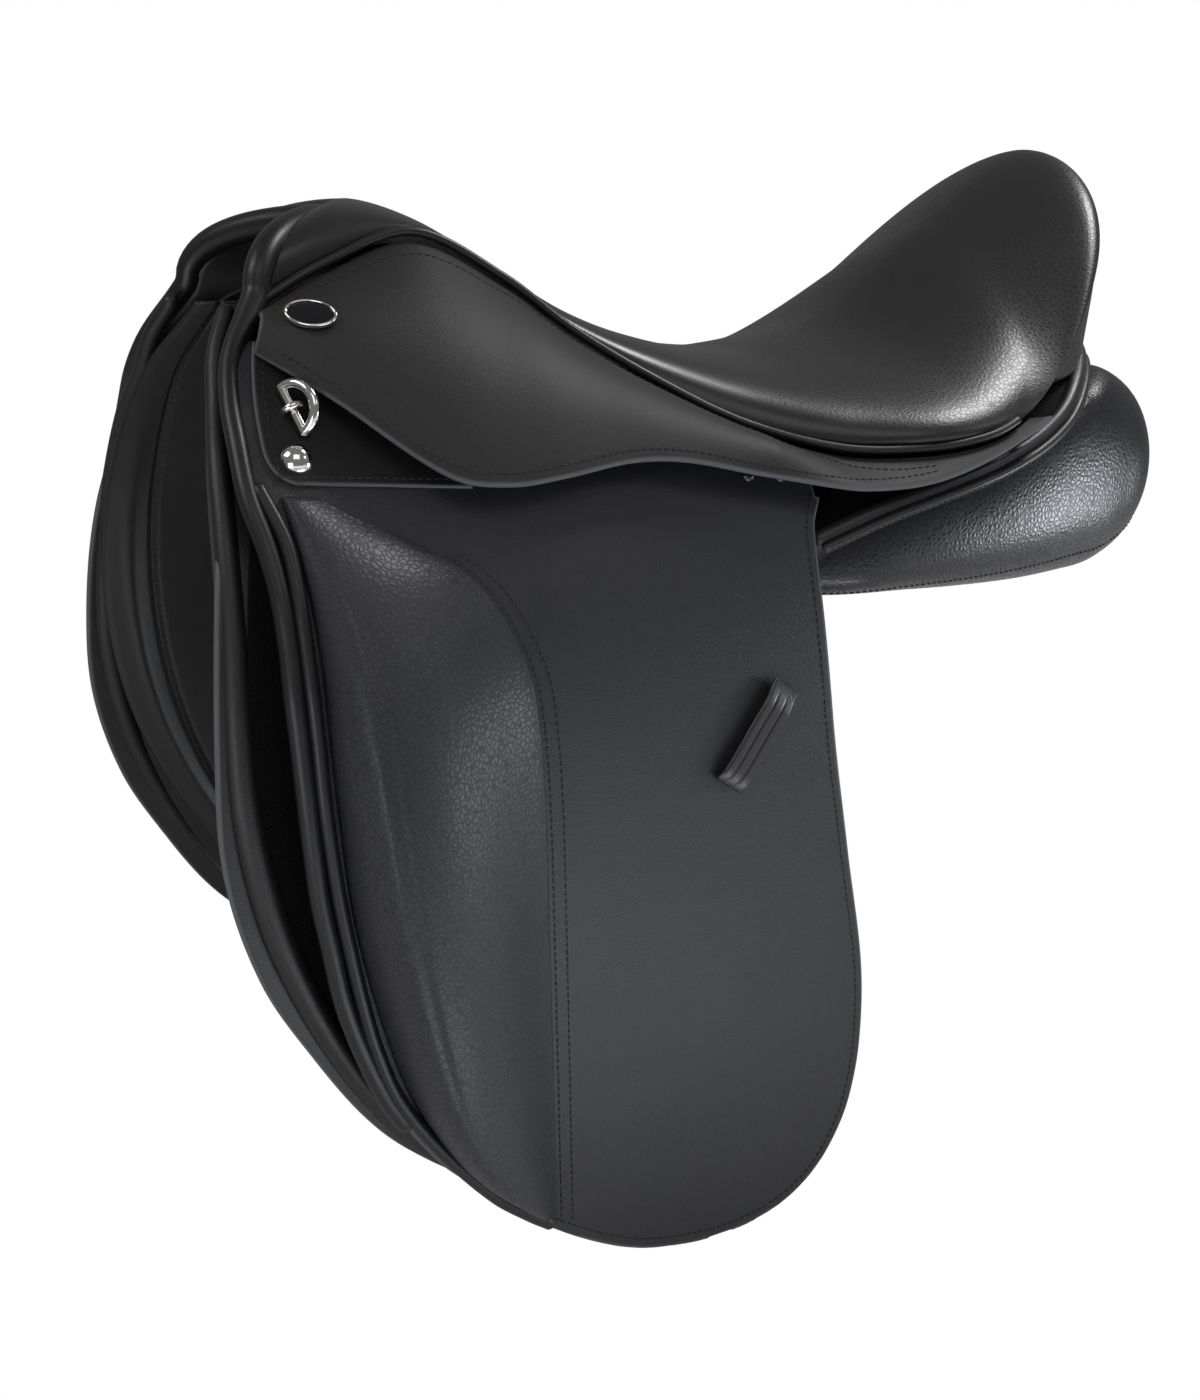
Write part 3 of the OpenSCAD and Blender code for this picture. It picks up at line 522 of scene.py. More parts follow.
def skirt_out(s, v):
    """Skirt outer face: straight from seam to hem with an outward bulge by sine, fading out behind the waist."""
    a = curve(SEAM, s) + [0, 2.4, -4.3]
    b = curve(HEM, s)
    rise = SKIRT_BULGE * np.sin(np.pi * v) * np.clip(7 - s, 0, 1)
    return a + (b - a) * v[..., None] + np.array([0, 1, 0.7]) * rise[..., None]


def bend(obj, side, body, middle, down, before, after):
    """Sheet with its placement baked into its mesh, left in the saddle's frame; side, body, middle, down, before and
    after are not used.
    """
    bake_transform(obj)


LOBE_OUT = np.array([0, 0.8, 0.6])
LOBE_A, LOBE_B = np.array([203.196, 94.2626, 45.0919]), np.array([71.8125, 121.938, 14.75])
LOBE_DOWN = unit(np.cross(LOBE_OUT, unit(LOBE_A - LOBE_B)))
LOBE_MID = (LOBE_A + LOBE_B) / 2 + LOBE_OUT * 9
skirt_leather = leather("skirt_leather", (0.017, 0.0155, 0.0145), 1100, 0.3, 0.52, 0.12, 0.35)
ss, vv = np.meshgrid(0.05 + 10.35 * crowd(190, 420), crowd(44, 60), indexing="ij")
parts = [outer_leaf(skirt_out(ss, vv), SKIRT_THICK)]
s_line = np.linspace(0.35, 9.9, 300)
wide = np.linalg.norm(skirt_out(s_line, np.ones(300)) - skirt_out(s_line, np.zeros(300)), axis=1)
for v_line in (np.clip(UPPER_ROW / wide, 0, 0.45), np.clip(1 - LOWER_ROW / wide, 0.55, 1)):
    path = skirt_out(s_line, v_line)
    out = unit(np.cross(skirt_out(s_line + 0.05, v_line) - path, skirt_out(s_line, v_line + 0.02) - path))
    out = out * np.sign(out[:, 1:2])
    parts.append(dict(stitches((path + out * 0.12)[wide > ROW_ROOM], out[wide > ROW_ROOM]), m=1))
for obj, side in pair("skirt_leather", parts, [skirt_leather, thread_black]):
    bend(obj, side, "skirt_lobe_%s_body" % side, LOBE_MID, LOBE_DOWN, 5, 7)
    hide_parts("skirt_" + side, "skirt_lobe_" + side)

# Flaps
# Long straight flap of fine-grained leather on each side. The upper part is nailed to the tree under the skirt and the
# rest hangs from the fold; head and hanging part are one sheet. Stitches follow its free edge.
SIDE = [(-350, 148), (-225, 144.5), (-100, 141), (-54, 135), (-20, 124), (5, 109.5), (17, 101), (43, 83), (66, 63),
        (80, 49), (111, 18)]
FLAP_FRONT = [(0, (235.5, 13.2)), (0.15, (233, -35)), (0.3, (233, -91)), (0.45, (228.5, -153)), (0.6, (213.5, -215)),
              (0.72, (190, -259)), (0.8, (166, -284.5)), (0.86, (143, -307)), (0.92, (117, -326)), (0.96, (95, -337.5)),
              (0.985, (74, -343.5)), (1, (57, -346.5))]
FLAP_REAR = [(0, (-10, -8.3)), (0.05, (-3.5, -20)), (0.15, (-2, -50)), (0.3, (-6, -105)), (0.45, (-16, -165)),
             (0.6, (-27, -225)), (0.72, (-28, -268)), (0.8, (-23, -297)), (0.86, (-14.5, -316)),
             (0.92, (-1.5, -332)), (0.96, (14, -341.5)), (0.985, (31, -345.8)), (1, (45, -347))]
HEAD_X = [(-10, 234), (17, 235.5), (43, 234), (66, 226), (80, 213)]
HEAD_TOP = [(0, 63), (0.1, 62), (0.17, 48), (0.23, 29), (0.5, 26), (0.8, 11), (1, 1)]
FLAP_THICK = 5.0
FOLD_A, FOLD_B = np.array([245, 103.155, 14.0]), np.array([-10, 117.644, -8.0])
FOLD_MID = (FOLD_A + FOLD_B) / 2
FOLD_DOWN = unit(np.cross([0, 0.865, 0.5], unit(FOLD_A - FOLD_B)))


def fold_z(x):
    """Height of the fold line at x."""
    return FOLD_B[2] + (x - FOLD_B[0]) / (FOLD_A[0] - FOLD_B[0]) * (FOLD_A[2] - FOLD_B[2])


def on_side(x, z, d=0.0):
    """Point of the flap's outer face at x and z, d mm inside it."""
    return np.stack(np.broadcast_arrays(x, curve(SIDE, z) - d, z), -1).astype(float)


def side_out(z):
    """Direction square to the flap's outer face at height z."""
    k = (curve(SIDE, z + 2.0) - curve(SIDE, z - 2.0)) / 4
    return unit(np.stack([0 * k, 0 * k + 1, -k], -1))


def inset(path, d):
    """Flat path of (x, z) points moved d mm to its left."""
    t = unit(np.gradient(path, axis=0))
    return path + d * np.stack([-t[:, 1], t[:, 0]], -1)


flap_leather = leather("flap_leather", (0.014, 0.0143, 0.016), 900, 0.5, 0.42, 0.12)
g_cols = crowd(120, 250)
gg, vv = np.meshgrid(g_cols, np.concatenate([[0, 0.01, 0.03, 0.06], np.linspace(0.1, 0.97, 22)]))
z = curve(HEAD_TOP, gg) * (1 - vv) + fold_z(240 - 248 * gg) * vv
head = on_side(curve(HEAD_X, z) * (1 - gg) - 8 * gg, z)
gg, qq = np.meshgrid(g_cols, np.concatenate([np.linspace(0, 0.9, 130), np.linspace(0.9, 0.992, 44)[1:],
                                             [0.994, 0.996, 0.9975, 0.999, 1.0]]))
a, b = curve(FLAP_FRONT, qq), curve(FLAP_REAR, qq)
xz = a + (b - a) * gg[..., None]
sheet = outer_leaf(np.concatenate([head, on_side(xz[..., 0], xz[..., 1])]), FLAP_THICK, 2.2)
outline = np.concatenate([curve(FLAP_REAR, np.linspace(0.0, 1, 160)), curve(FLAP_FRONT, np.linspace(1, 0.86, 50))])
row = inset(even(np.insert(outline, 2, 0, 1), 4.0)[:, :2], 5.0)
parts = [sheet, dict(stitches(on_side(row[:, 0], row[:, 1], -0.12), side_out(row[:, 1])), m=1)]
for obj, side in pair("flap_leather", parts, [flap_leather, thread_black]):
    bend(obj, side, "flap_%s_body" % side, FOLD_MID, FOLD_DOWN, 4, 8)
    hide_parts("flap_" + side, "flap_head_" + side)

# Front rolls
# Padded roll that starts over the pommel arch, runs down the front edge of the upper flap and on down the flap, and a
# thinner second roll behind it that borders the thigh block and ends at the bottom of the block's seam.
ROLL_1 = [(228, 68, 57), (233, 80, 43), (235, 93, 28), (236, 106.5, 10.5), (233.5, 117, -6), (232.5, 125.6, -22),
          (232.5, 131.1, -39), (233.3, 136.3, -56), (233, 138.7, -74.5), (232.8, 141, -92.5), (232.2, 142.3, -112),
          (231, 142.9, -132), (228.2, 143.5, -153), (225, 144.1, -175), (219, 144.7, -198), (210, 145.4, -223),
          (203, 145.6, -236)]
ROLL_2 = [(232, 105, 14), (227, 118, -4), (226.8, 128.1, -22), (227, 133.6, -39), (227.4, 138.8, -56.5),
          (227.2, 141.2, -74.5), (227.2, 143.6, -93), (226.2, 144.8, -112.5), (224.5, 145.4, -132.5),
          (221.8, 146, -153.5), (218.5, 146.6, -175.5), (214, 147.2, -198), (206.2, 147.9, -222.5),
          (189.8, 148.7, -251), (167, 149.6, -281), (151.2, 150, -296), (142, 150.2, -303.5)]
ROLL_UP = (0.3, 1, 0)
ROLL_R, ARCH_MORE, ROLL_2_R = 3.9, 2.1, 2.9
rim = seat(0.15, np.linspace(90, 4, 9)) + [1.5, 0, -2.5]
roll_leather = leather("roll_leather", (0.008, 0.008, 0.0087), 1100, 0.2, 0.36, 0.08, 0.42)
path = fine(np.concatenate([rim, ROLL_1]), 3.0)
parts = [tube(path, ROLL_R + ARCH_MORE * smooth(75, 40, path[:, 1]), ROLL_UP, 16),
         tube(fine(ROLL_2, 3.0), ROLL_2_R, ROLL_UP, 14)]
for obj, side in pair("front_rolls", parts, [roll_leather]):
    bend(obj, side, "flap_%s_body" % side, FOLD_MID, FOLD_DOWN, 4, 8)
    if side == "near":
        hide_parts("pommel_roll")

# Pommel lining
# Leather that closes the arch behind the first rolls, from one side of the pommel over the top to the other.
arch_path = even(fine(np.concatenate([rim, ROLL_1[:3]]), 3.0) * [1, 0.97, 1] + [-1, 0, -2.5], 4.0)[::-1]
arch_path = np.concatenate([arch_path, arch_path[-2::-1] * [1, -1, 1]])
depth = np.linspace(0, 1, 14)[:, None, None]
lining = arch_path[None] * (1 - depth * [0, 0.16, 0]) + depth * np.array([-46.0, 0, -7.0])
drop = unit(np.stack([0 * arch_path[:, 0], -arch_path[:, 1], 0 * arch_path[:, 0] - 45], -1))
arch_leather = leather("arch_leather", (0.009, 0.0087, 0.0087), 900, 0.2, 0.45, 0.1)
obj = make("pommel_lining", [shell(lining, lining + drop * 1.6)], [arch_leather])
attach(obj, "saddle")

# Thigh blocks
# Padded block on each flap: steep at the front behind the second roll, with a long slope down to a straight rear seam
# that carries two rows of stitches.
BLOCK_REAR = [(0, 214), (0.03, 197), (0.06, 176), (0.1, 158), (0.16, 146), (0.23, 139), (0.5, 137), (0.9, 137)]
BLOCK_RISE = [(0, 0.1), (0.05, 0.22), (0.12, 0.4), (0.2, 0.6), (0.3, 0.8), (0.4, 0.94), (0.5, 1), (0.62, 0.95),
              (0.73, 0.75), (0.81, 0.42), (0.852, 0.05)]
BLOCK_H, BLOCK_LEAN, BLOCK_CREST, BLOCK_END = 34.0, 0.1, 0.16, 0.852


def flap_z(q, x):
    """Height of flap row q where it passes x."""
    a, b = curve(FLAP_FRONT, q), curve(FLAP_REAR, q)
    return a[..., 1] + (b[..., 1] - a[..., 1]) * (a[..., 0] - x) / (a[..., 0] - b[..., 0])


def block_at(q, u, h):
    """Point h mm above the flap on row q, share u of the way from the block's front edge to its rear seam."""
    front = curve(FLAP_FRONT, q)[..., 0] - 11 + 5.5 * smooth(0.5, 0.82, q)
    x = front + (curve(BLOCK_REAR, q) - front) * u
    return on_side(x - BLOCK_LEAN * h * (1 - u) ** 4, flap_z(q, x), -h)


block_leather = leather("block_leather", (0.034, 0.0345, 0.039), 430, 0.6, 0.36, 0.08, 0.27)
uu, qq = np.meshgrid(np.concatenate([np.linspace(0, 0.1, 16), np.linspace(0.1, 1, 70)[1:]]),
                     np.concatenate([np.linspace(0.005, 0.1, 26), np.linspace(0.1, BLOCK_END, 110)[1:]]))
steep = np.sin(np.pi / 2 * np.minimum(uu / BLOCK_CREST, 1)) ** 0.4
slope = np.cos(np.pi / 2 * np.clip((uu - BLOCK_CREST) / (1 - BLOCK_CREST), 0, 1)).clip(0) ** 1.25
groove = 0.06 * np.exp(-((uu - 0.15) / 0.035) ** 2) * (1 - smooth(0.5, 0.7, qq)) * smooth(0.1, 0.25, qq)
lift = np.where(uu < BLOCK_CREST, steep, slope) - groove
parts = [shell(block_at(qq, uu, 0.6 + BLOCK_H * curve(BLOCK_RISE, qq) * lift), block_at(qq, uu, 0.05))]
q_line = np.linspace(0.07, 0.866, 300)
for from_seam in (2.5, 8.0):
    x = curve(BLOCK_REAR, q_line) - from_seam
    z = flap_z(q_line, x)
    parts.append(dict(stitches(on_side(x, z, -0.15), side_out(z)), m=1))
for obj, side in pair("thigh_block_leather", parts, [block_leather, thread_black]):
    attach(obj, "flap_%s_body" % side)
    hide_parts("thigh_block_" + side)

# Facings
# Stitched leather patch over the front of each upper flap, with a round lower corner, under the dee ring and the nail.
# Its hide is darker than the flap's as painted shade under the skirt.
PATCH_TOP, PATCH_REAR, PATCH_R, PATCH_FACE = 62.0, 150.0, 12.0, 1.9
# Near-black hide: painted shade for the patch's place under the skirt.
facing_leather_painted_shade = leather("facing_leather_painted_shade", (0.006, 0.006, 0.0064), 900, 0.4, 0.5, 0.1, 0.3)
uu, vv = np.meshgrid(crowd(50, 80), crowd(40, 48))
low_z = fold_z(228.0 - 70 * uu) + 1.2
z = PATCH_TOP + (low_z - PATCH_TOP) * vv
corner = np.clip(PATCH_R - (z - low_z), 0, PATCH_R)
front_x = curve(HEAD_X, z) - 8.5 - (PATCH_R - np.sqrt(PATCH_R**2 - corner**2))
parts = [leaf(on_side(front_x + (PATCH_REAR - front_x) * uu, z, -0.9), 1.8, 1.3)]
z_line, x_line = np.linspace(60, 16, 60), np.linspace(222, 152, 60)
for x, z in ((curve(HEAD_X, z_line) - 12.5, z_line), (x_line, fold_z(x_line) + 5.2)):
    parts.append(dict(stitches(on_side(x, z, -PATCH_FACE), side_out(z)), m=1))
for obj, side in pair("facing", parts, [facing_leather_painted_shade, thread_black]):
    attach(obj, "saddle")

# Strap keepers
# Narrow leather loop across the rear of each flap: flat at its upper end, bulged at the lower end, with two creases.
KEEP_X, KEEP_Z, KEEP_LONG, KEEP_WIDE, KEEP_THICK, KEEP_GAP = 37.8, -101.5, 49.0, 14.8, 2.3, 0.3
keep_mid = np.array([KEEP_X, float(curve(SIDE, KEEP_Z)) + KEEP_GAP, KEEP_Z])
keep_u, keep_n = unit(np.array([28.8, 0, -38.0])), np.array([0, 1.0, 0])
keep_w = np.cross(keep_n, keep_u)
ll, ww = np.meshgrid(np.linspace(-KEEP_LONG / 2, KEEP_LONG / 2, 90), np.linspace(-KEEP_WIDE / 2, KEEP_WIDE / 2, 50),
                     indexing="ij")
bulge = 2.6 * smooth(-25, -12, ll) + 1.0 * smooth(-10, 16, ll)
arch = KEEP_GAP + bulge * np.sqrt(np.clip(1 - np.clip((ll - 15) / 10, 0, 1) ** 2.6, 0, 1))
crease = 0.4 * (np.exp(-((ww - 2.2) / 0.55) ** 2) + np.exp(-((ww + 3.0) / 0.55) ** 2)) * smooth(-22, -12, ll)
round_off = 0.8 * smooth(6.2, 7.4, np.abs(ww)) ** 2
base = keep_mid + ll[..., None] * keep_u + ww[..., None] * keep_w
strap = shell(base + (arch + KEEP_THICK - crease - round_off)[..., None] * keep_n,
              base + (arch + round_off * 0.5)[..., None] * keep_n)
strap["plain"] = np.full(len(strap["v"]), 0.5)
keeper_leather = leather("keeper_leather", (0.02, 0.0195, 0.02), 700, 0.35, 0.30, 0.12)
for obj, side in pair("keeper_leather", [strap], [keeper_leather]):
    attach(obj, "flap_%s_body" % side)
    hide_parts("strap_keeper_" + side)

# Sweat flaps and front panels
# Inner flap on each side with a soft rolled front edge and a hook-and-loop strip, sewn to a thin front panel that lies
# on the horse. The panel has a knee roll along its front, closed by a stitched seam.
SWEAT_FRONT = [(0, (236, 34)), (0.15, (252, -25)), (0.3, (260, -80)), (0.45, (261, -125)), (0.6, (251, -170)),
               (0.72, (234, -206)), (0.84, (212, -243)), (0.93, (189, -268)), (1, (150, -300))]
SWEAT_REAR = [(0, (30, -4)), (0.3, (28, -100)), (0.6, (15, -200)), (0.8, (15, -265)), (1, (60, -315))]
FRONT_FRONT = [(0, (214, 72)), (0.15, (235, 40)), (0.3, (246, 0)), (0.45, (252, -60)), (0.6, (248, -115)),
               (0.75, (234, -163)), (0.88, (208, -213)), (1, (172, -262))]
FRONT_REAR = [(0, (150, 72)), (0.15, (125, 40)), (0.3, (100, 0)), (0.45, (85, -60)), (0.6, (80, -115)),
              (0.75, (78, -165)), (0.88, (80, -215)), (1, (100, -268))]
SWEAT_ROLL = [(222, 44, 72), (230, 54, 57), (234, 64, 40), (239, 80, 22), (244, 101, -11), (247, 112, -38),
              (250, 119, -66), (251, 124, -100), (246, 127, -140), (237, 128.5, -172), (222, 129, -208),
              (204, 129.5, -240), (186, 129.5, -264)]
SWEAT_ROLL_R = [(0, 3.6), (0.25, 4.6), (0.55, 6.0), (0.85, 5.4), (1, 4.5)]
SWEAT_IN, SWEAT_FACE, STRIP_IN, PANEL_IN = 17.5, 15.35, 14.4, 20.4
KNEE, KNEE_ROW = 0.14, 0.155


def between(front, rear, q, g, d):
    """Point on row q, share g from a front to a rear edge, d mm inside the flap's outer face."""
    a, b = curve(front, q), curve(rear, q)
    p = a + (b - a) * np.asarray(g)[..., None]
    return on_side(p[..., 0], p[..., 1], d)


def front_pad(q, g):
    """Thickness of the front panel: crowned between its edges, with a knee roll along the front by squared sine."""
    body = 10 * (0.35 + 0.65 * np.sin(np.pi * np.clip(g, 0.012, 0.988)) ** 0.3)
    knee = np.where(g < KNEE, np.sin(np.pi * np.clip(g, 0, KNEE) / KNEE) ** 2, 0)
    return body + 6 * knee * np.sin(np.pi * np.clip((q - 0.2) / 0.8, 0, 1))


inner_leather = leather("inner_leather", (0.007, 0.0065, 0.0066), 800, 0.3, 0.42, 0.12)
gg, qq = np.meshgrid(crowd(80, 220), crowd(110, 340))
sweat_sheet = leaf(between(SWEAT_FRONT, SWEAT_REAR, qq, gg, SWEAT_IN), 4.0)
q_line = np.linspace(0.12, 0.985, 220)
wide = np.linalg.norm(curve(SWEAT_FRONT, q_line) - curve(SWEAT_REAR, q_line), axis=1)
sweat_row = stitches(between(SWEAT_FRONT, SWEAT_REAR, q_line, 1 - 5.0 / wide, SWEAT_FACE), np.array([0, 1.0, 0]))
path = fine(SWEAT_ROLL, 3.0)
sweat_roll = tube(path, curve(SWEAT_ROLL_R, np.linspace(0, 1, len(path))), ROLL_UP, 18)
parts = [sweat_sheet, dict(sweat_row, m=1), sweat_roll]
for obj, side in pair("sweat_flap_leather", parts, [inner_leather, thread_black]):
    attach(obj, "saddle")
    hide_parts("sweat_flap_" + side)

gg, qq = np.meshgrid(np.concatenate([np.linspace(0, 0.32, 60), np.linspace(0.32, 1, 60)[1:]]), np.linspace(0, 1, 130))
ripple = 0.35 * np.sin(qq * 61 + 5 * gg) * np.sin(qq * 23 + 9 * gg) * smooth(0.3, 0.5, gg) * (1 - smooth(0.8, 1, gg))
dip = 2.2 * np.exp(-(((gg - KNEE) / 0.012) ** 2))
pad = shell(between(FRONT_FRONT, FRONT_REAR, qq, gg, PANEL_IN),
            between(FRONT_FRONT, FRONT_REAR, qq, gg, PANEL_IN + front_pad(qq, gg) + ripple - dip))
pad["seam"] = np.concatenate([np.zeros(gg.size), np.exp(-(((gg - KNEE) / 0.006) ** 2)).ravel()])
q_line = np.linspace(0.06, 0.97, 220)
g_line = 0 * q_line + KNEE_ROW
knee_line = between(FRONT_FRONT, FRONT_REAR, q_line, g_line, PANEL_IN + front_pad(q_line, g_line) - 0.3)
parts = [pad, dict(stitches(knee_line, np.array([0, -1.0, 0])), m=1)]
for obj, side in pair("front_panel_leather", parts, [inner_leather, thread_black]):
    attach(obj, "saddle")
    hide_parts("panel_front_" + side)

FUZZ = ("Noise", None, {"Scale": 900, "Detail": 5})
loop_fabric, _ = patterned("loop_fabric", (0.001, 0.001, 0.001), (0.004, 0.004, 0.0042), 1.2, 0.95, FUZZ)
loop_fabric.node_tree.nodes["Principled BSDF"].inputs["Specular IOR Level"].default_value = 0.1
gg, qq = np.meshgrid(0.05 + 0.13 * crowd(14, 28), 0.08 + 0.8 * crowd(90, 280))
strip = leaf(between(SWEAT_FRONT, SWEAT_REAR, qq, gg, STRIP_IN), 1.6, 0.8)
del strip["edge"]
for obj, side in pair("hook_strip_fabric", [strip], [loop_fabric]):
    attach(obj, "saddle")
    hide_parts("hook_strip_" + side)

# Rear panels
# Flocked panels either side of the gullet, strongly pebbled, with a stitched seam low on the outer side and a double
# bead along the upper edge that carries on round the back under the cantle.
PANEL = [(-247, (70, -17, 5, 7)), (-243, (70, -17, 20, 25)), (-231, (70, -17, 31, 42)), (-210, (71, -18.5, 36, 48)),
         (-183, (73, -20, 39, 48)), (-150, (75, -26, 41, 42)), (-110, (76, -34, 42, 32)), (-70, (76, -40, 42, 23)),
         (-35, (74, -45, 40, 16)), (0, (66, -46, 32, 13)), (60, (58, -44, 24, 12)), (100, (53, -42, 16, 9)),
         (118, (50, -41, 6, 4))]
BEAD = [(-8, 119, -26.5), (-38, 123.5, -16), (-81, 126.5, -5.5), (-106, 125, 0.5), (-132, 121.5, 9.5), (-153, 115, 20),
        (-174, 101, 33), (-193, 82, 43), (-209, 60, 45), (-221, 31, 43), (-225, 0, 42)]
BEAD_Z = [(-247, 24), (-215, 35), (-197, 32), (-178, 24), (-153, 12), (-132, 2), (-106, -6), (-81, -11), (-38, -22),
          (-8, -33), (60, -34), (118, -37)]
BEAD_R, THIN_R, THIN_OUT, BEAD_ROW = 4.0, 2.2, 5.9, 8.6
PANEL_TURN, PANEL_END, PANEL_RING, PANEL_SEAM = -231, -247, 96, -40


def panel(x, t, grow=0.0):
    """Panel section: squarish ring about its centre line, its upper outer corner drawn up to the beads by a rise."""
    x, t = np.broadcast_arrays(np.asarray(x, float), np.asarray(t, float))
    p = curve(PANEL, x)
    c, s = np.cos(np.radians(t)), np.sin(np.radians(t))
    short = np.maximum(curve(BEAD_Z, x) + 1 - p[..., 1] - p[..., 3], 0)
    upper = short * smooth(PANEL_END, -200, x) * (1 - smooth(-30, 40, x))
    corner = np.clip(np.sin(np.radians(2 * t)), 0, 1) * ((c > 0) & (s > 0)) * smooth(-215, -170, x)
    e = 0.75 - 0.3 * corner + 0.22 * smooth(-195, -238, x)
    return np.stack([x, p[..., 0] + (p[..., 2] + grow) * np.sign(c) * np.abs(c) ** e,
                     p[..., 1] + (p[..., 3] + grow + upper * (s > 0)) * np.sign(s) * np.abs(s) ** e], -1)


def tail(n, last):
    """Stations from the panel's turn towards its rear end, crowded there by a power."""
    return PANEL_END + (PANEL_TURN - PANEL_END) * np.linspace(1, last, n)[1:] ** 1.7


panel_leather = leather("panel_leather", (0.012, 0.012, 0.0135), 400, 0.8, 0.23, 0.075)
x_rows = np.concatenate([np.linspace(118, 100, 10), np.linspace(100, PANEL_TURN, 110)[1:], tail(26, 0)])
rings = panel(x_rows[:, None], np.linspace(0, 360, PANEL_RING + 1)[None, :-1])
faces = [ring_faces(len(rings), PANEL_RING)]
for first, centre in ((0, len(rings) * PANEL_RING), ((len(rings) - 1) * PANEL_RING, len(rings) * PANEL_RING + 1)):
    ids = first + np.arange(PANEL_RING)
    faces.append(np.stack([ids[::2], ids[1::2], np.roll(ids, -2)[::2], np.full(PANEL_RING // 2, centre)], -1))
body = {"v": np.concatenate([rings.reshape(-1, 3), rings[[0, -1]].mean(1)]), "f": np.concatenate(faces)}
x_line = np.concatenate([np.linspace(10, PANEL_TURN, 160), tail(20, 0.2)])
low_line = panel(x_line, 0 * x_line + PANEL_SEAM, 0.15)
low_out = unit(np.insert(low_line[:, 1:] - curve(PANEL, x_line)[:, :2], 0, -0.15, 1))
seam_d = np.sqrt(((body["v"][:, None, :] - low_line[None, ::3]) ** 2).sum(-1).min(1))
body["seam"] = 1 - smooth(0.4, 2.2, seam_d)
parts = [body, dict(stitches(low_line, low_out), m=1)]
for obj, side in pair("panel_leather", parts, [panel_leather, thread_black]):
    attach(obj, "saddle")
    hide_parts("panel_" + side)

bead_leather = leather("bead_leather", (0.02, 0.0198, 0.021), 800, 0.25, 0.36, 0.08)
bead_path = fine(BEAD, 3.0)
y = bead_path[:, 1]
bead_out = unit(np.stack([-0.9 * smooth(60, 0, y) - 0.3, y / 80, 0 * y - 0.9], -1))
parts = [tube(bead_path, BEAD_R, (0, 0.2, 1), 16), tube(bead_path + bead_out * THIN_OUT, THIN_R, (0, 0.2, 1), 12),
         dict(stitches(bead_path + bead_out * BEAD_ROW, bead_out), m=1)]
for obj, side in pair("panel_beads", parts, [bead_leather, thread_black]):
    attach(obj, "saddle")
    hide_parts("panel_roll_" + side)

# Panel facings
# Leather walls that join the panels to the seat: up from the beads to the underside of the seat, down behind the
# cantle to the panels and the top of the gullet, and a strip tucked in from the beads behind the panel's top.
WALL, REAR_WALL = np.array([0, 1.5, 0.6]), np.array([1.6, 0, 0])
# The wall up to the seat is near-black and matt: painted shade for the dark gap between the seat and the beads.
wall_leather_painted_shade = leather("wall_leather_painted_shade", (0.004, 0.004, 0.0042), 800, 0.3, 0.75, 0.1, 0.12)
rise = np.linspace(0, 1, 8)[:, None, None]
wall = bead_path + rise * np.stack([42 * smooth(100, 30, y), -0.28 * y, 4 + 23 * smooth(40, 105, y)], -1)
tuck = bead_path + rise * np.stack([0 * y, -0.16 * y, 0 * y - 24], -1)
back = bead_path[y < 68]
y = back[:, 1]
foot = np.stack([0 * y - 216, 0.97 * y, -10 + 36 * smooth(30, 62, y)], -1)
rear_wall = back + rise * (foot - back)
parts = [shell(wall, wall - WALL), dict(shell(rear_wall, rear_wall + REAR_WALL), m=1),
         dict(shell(tuck, tuck - WALL), m=1)]
for obj, side in pair("panel_facing", parts, [wall_leather_painted_shade, panel_leather]):
    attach(obj, "saddle")

# Gullet lining
# Leather strip that closes the top of the channel between the two panels.
kk, xx = np.meshgrid(np.linspace(1, -1, 41), np.linspace(40, -225, 120))
p = curve(PANEL, xx)
lining = np.stack([xx, kk * (p[..., 0] - p[..., 2] - 0.5), p[..., 1] + 4 * (1 - kk**2)], -1)
obj = make("gullet_leather", [shell(lining + [0, 0, 2.5], lining)], [inner_leather])
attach(obj, "saddle")
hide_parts("gullet_lining")

# Badges
# Bare oval plate on each skirt: polished nickel rim round a slightly domed black face.
BADGE_S, BADGE_V = np.array([0.69]), np.array([0.5])
BADGE_LONG, BADGE_HIGH, BADGE_SIDES = 9.8, 6.2, 72
RIM = np.array([[1.0, 0.7], [1.0, 2.0], [0.985, 2.45], [0.94, 2.6], [0.895, 2.5], [0.88, 2.2], [0.87, 1.9]])


def metal(name, colour, rough, scratch=900):
    """Polished metal: fine scratches and handling marks from noise in its tone, roughness and relief."""
    noise = ("Noise", None, {"Scale": scratch, "Detail": 4})
    mat, marks = patterned(name, *shades(colour, 0.82, 1), 0.03, rough, noise)
    n, l = mat.node_tree.nodes, mat.node_tree.links
    spread = n.new("ShaderNodeMapRange")
    spread.inputs["To Min"].default_value = rough * 0.6
    spread.inputs["To Max"].default_value = rough * 1.5
    l.new(marks, spread.inputs["Value"])
    l.new(spread.outputs["Result"], n["Principled BSDF"].inputs["Roughness"])
    n["Principled BSDF"].inputs["Metallic"].default_value = 1.0
    return mat


def ovals(share, out):
    """Rings about the badge's middle: a share of its half sizes each, and so many mm out from the skirt."""
    turn = np.linspace(0, 2 * np.pi, BADGE_SIDES + 1)[None, :-1, None]
    oval = BADGE_LONG * np.cos(turn) * badge_x + BADGE_HIGH * np.sin(turn) * badge_y
    v = spot + 0.2 * badge_n + share[:, None, None] * oval + out[:, None, None] * badge_n
    return {"v": v.reshape(-1, 3), "f": ring_faces(len(share), BADGE_SIDES)}


